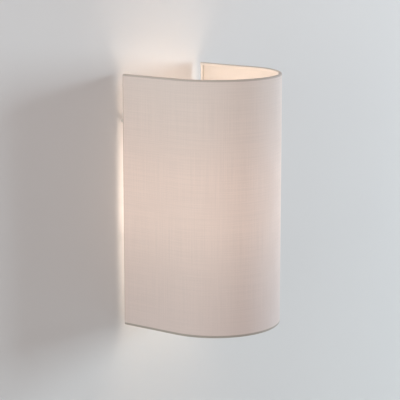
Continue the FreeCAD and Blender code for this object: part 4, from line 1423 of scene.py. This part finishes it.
@dataclass
class Room:
    """Wall, floor, lamps and camera, which aren't part of the object."""

    # the wall's colour below and above paints a shade that is darker towards the bottom
    wall_shaded_below: Colour = (0.70, 0.72, 0.727)
    wall_lit_above: Colour = (0.831, 0.84, 0.848)
    wall_change: float = 0.6
    wall_half: float = 2.6
    wall_y: float = 0.0006
    floor_colour: Colour = (0.75, 0.75, 0.74)
    floor_half: float = 8.0
    floor_z: float = -1.15
    uneven_scale: float = 1.6
    uneven_share: float = 0.02
    sky: Colour = (0.440, 0.375, 0.362)
    seen: Colour = (0.80, 0.80, 0.80)
    pale_share: float = 0.85
    contact: float = 0.003
    lamps: tuple[SoftLamp, ...] = (
        SoftLamp("key", (2.95, -1.75, 0.12), 1.05, 69.0, (0.81, 0.94, 1.0)),
        SoftLamp("fill", (-3.1, -0.4, 0.25), 1.5, 33.0, (0.98, 1.0, 0.93)),
    )
    camera_at: Point = (-1.5354, -1.1915, 0.3723)
    camera_yaw: float = math.radians(53.6215)
    camera_pitch: float = math.radians(-11.1804)
    lens: float = 146.68
    sensor: float = 36.0
    clip_near: float = 0.02
    clip_far: float = 60.0

    def plain(self, t: Tree, low: Colour, high: Colour) -> bpy.types.Node:
        """A matt wall or floor with a faint unevenness, its colour blended from low to high up the wall:
        a painted shade, darker below.

        Args:
            t: the material's tree.
            low: its colour below, where the painted shade is darkest.
            high: its colour above.

        Returns:
            The shader.
        """
        place = t.add("ShaderNodeTexCoord").outputs["Object"]
        _, _, z = t.parts_of(place)
        height = t.ramp(z, -self.wall_change, self.wall_change)
        uneven = t.cloud(place, self.uneven_scale, 0.0, self.uneven_share, detail=2.0)
        # the blend by height is a painted shade, darker below; the unevenness is the surface's own
        shade = t.blend(uneven, t.blend(height, rgba(low), rgba(high)), BLACK)
        return t.add("ShaderNodeBsdfDiffuse", {"Color": shade})

    @staticmethod
    def looked_at(t: Tree) -> bpy.types.NodeSocket:
        """Tells looking from lighting.

        Args:
            t: the tree of a material or the world.

        Returns:
            1 where it is seen straight, in gloss or through glass, and 0 where it only gives light.
        """
        path = t.add("ShaderNodeLightPath").outputs
        mirrored = t.math("MAXIMUM", path["Is Glossy Ray"], path["Is Transmission Ray"])
        return t.math("MAXIMUM", path["Is Camera Ray"], mirrored)

    @staticmethod
    def end(t: Tree, surface: Value, clear: Value = 0.0) -> None:
        """Ends a material that lets everything through from behind, so the light shows from all sides.

        Args:
            t: the material's tree.
            surface: the shader of its front.
            clear: a share from 0 to 1 that lets rays through from the front too.
        """
        behind = t.add("ShaderNodeNewGeometry").outputs["Backfacing"]
        through = t.add("ShaderNodeBsdfTransparent")
        share = t.math("MAXIMUM", behind, clear)
        mixed = t.add("ShaderNodeMixShader", {0: share, 1: surface, 2: through})
        t.add("ShaderNodeOutputMaterial", {"Surface": mixed})

    @staticmethod
    def slab(name: str, corners: list[Point], material: bpy.types.Material) -> None:
        """Puts a flat piece of the room in place.

        Args:
            name: its name.
            corners: its four corners, counter-clockwise seen from its front.
            material: its finish.
        """
        mesh = bpy.data.meshes.new(name)
        mesh.from_pydata(corners, [], [(0, 1, 2, 3)])
        mesh.materials.append(material)
        slab = bpy.data.objects.new(name, mesh)
        bpy.context.scene.collection.objects.link(slab)

    def build_wall(self) -> None:
        """The wall behind the light.

        Scattered light passes it close to where it leaves a piece, so that the back of the plate,
        which lies against it, gets light too.
        """
        material = bpy.data.materials.new("room_wall")
        t = Tree.bare(material)
        matt = self.plain(t, self.wall_shaded_below, self.wall_lit_above)
        path = t.add("ShaderNodeLightPath").outputs
        close = t.math("LESS_THAN", path["Ray Length"], self.contact)
        self.end(t, matt, t.math("MULTIPLY", close, path["Is Diffuse Ray"]))
        half, y = self.wall_half, self.wall_y
        corners = [(-half, y, self.floor_z), (half, y, self.floor_z), (half, y, half), (-half, y, half)]
        self.slab("room_wall", corners, material)

    def build_floor(self) -> None:
        """The pale floor."""
        material = bpy.data.materials.new("room_floor")
        t = Tree.bare(material)
        matt = self.plain(t, self.floor_colour, self.floor_colour)
        pale = t.add("ShaderNodeEmission", {"Color": rgba(self.seen), "Strength": 1.0})
        share = t.math("MULTIPLY", self.looked_at(t), self.pale_share)
        self.end(t, t.add("ShaderNodeMixShader", {0: share, 1: matt, 2: pale}))
        far, z = self.floor_half, self.floor_z
        corners = [(-far, -far, z), (far, -far, z), (far, far, z), (-far, far, z)]
        self.slab("room_floor", corners, material)

    def build_lights(self) -> None:
        """Even light from all round, a soft key from the right front and a weak fill from the left."""
        world = bpy.data.worlds.new("room")
        bpy.context.scene.world = world
        t = Tree.bare(world)
        sky = t.add("ShaderNodeBackground", {"Color": rgba(self.sky), "Strength": 1.0})
        seen = t.add("ShaderNodeBackground", {"Color": rgba(self.seen), "Strength": 1.0})
        mixed = t.add("ShaderNodeMixShader", {0: self.looked_at(t), 1: sky, 2: seen})
        t.add("ShaderNodeOutputWorld", {"Surface": mixed})
        for lamp in self.lamps:
            lamp.build()

    def build_camera(self) -> None:
        """The camera at the photograph's place."""
        data = bpy.data.cameras.new("camera")
        data.lens = self.lens
        data.sensor_width = self.sensor
        data.sensor_fit = "HORIZONTAL"
        data.clip_start = self.clip_near
        data.clip_end = self.clip_far
        camera = bpy.data.objects.new("camera", data)
        camera.location = self.camera_at
        camera.rotation_euler = Euler((math.pi / 2 + self.camera_pitch, 0.0, -self.camera_yaw), "XYZ")
        bpy.context.scene.collection.objects.link(camera)
        bpy.context.scene.camera = camera

    def build(self) -> None:
        """Sets the room up."""
        bpy.context.scene.view_settings.view_transform = "Standard"
        self.build_wall()
        self.build_floor()
        self.build_lights()
        self.build_camera()


def main() -> None:
    """Loads the frame and dresses it."""
    logging.basicConfig(level=logging.INFO, format="%(name)s %(message)s")
    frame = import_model()
    palette = Palette(Effects())
    palette.dress(frame)
    growths = Growths()
    workshop = Workshop(palette)
    Room().build()
    Shade(workshop, growths).build()
    Fasteners(workshop, growths).build()
    Lampholder(workshop, growths).build()
    Bulb(workshop, growths).build()


if __name__ == "__main__":
    main()
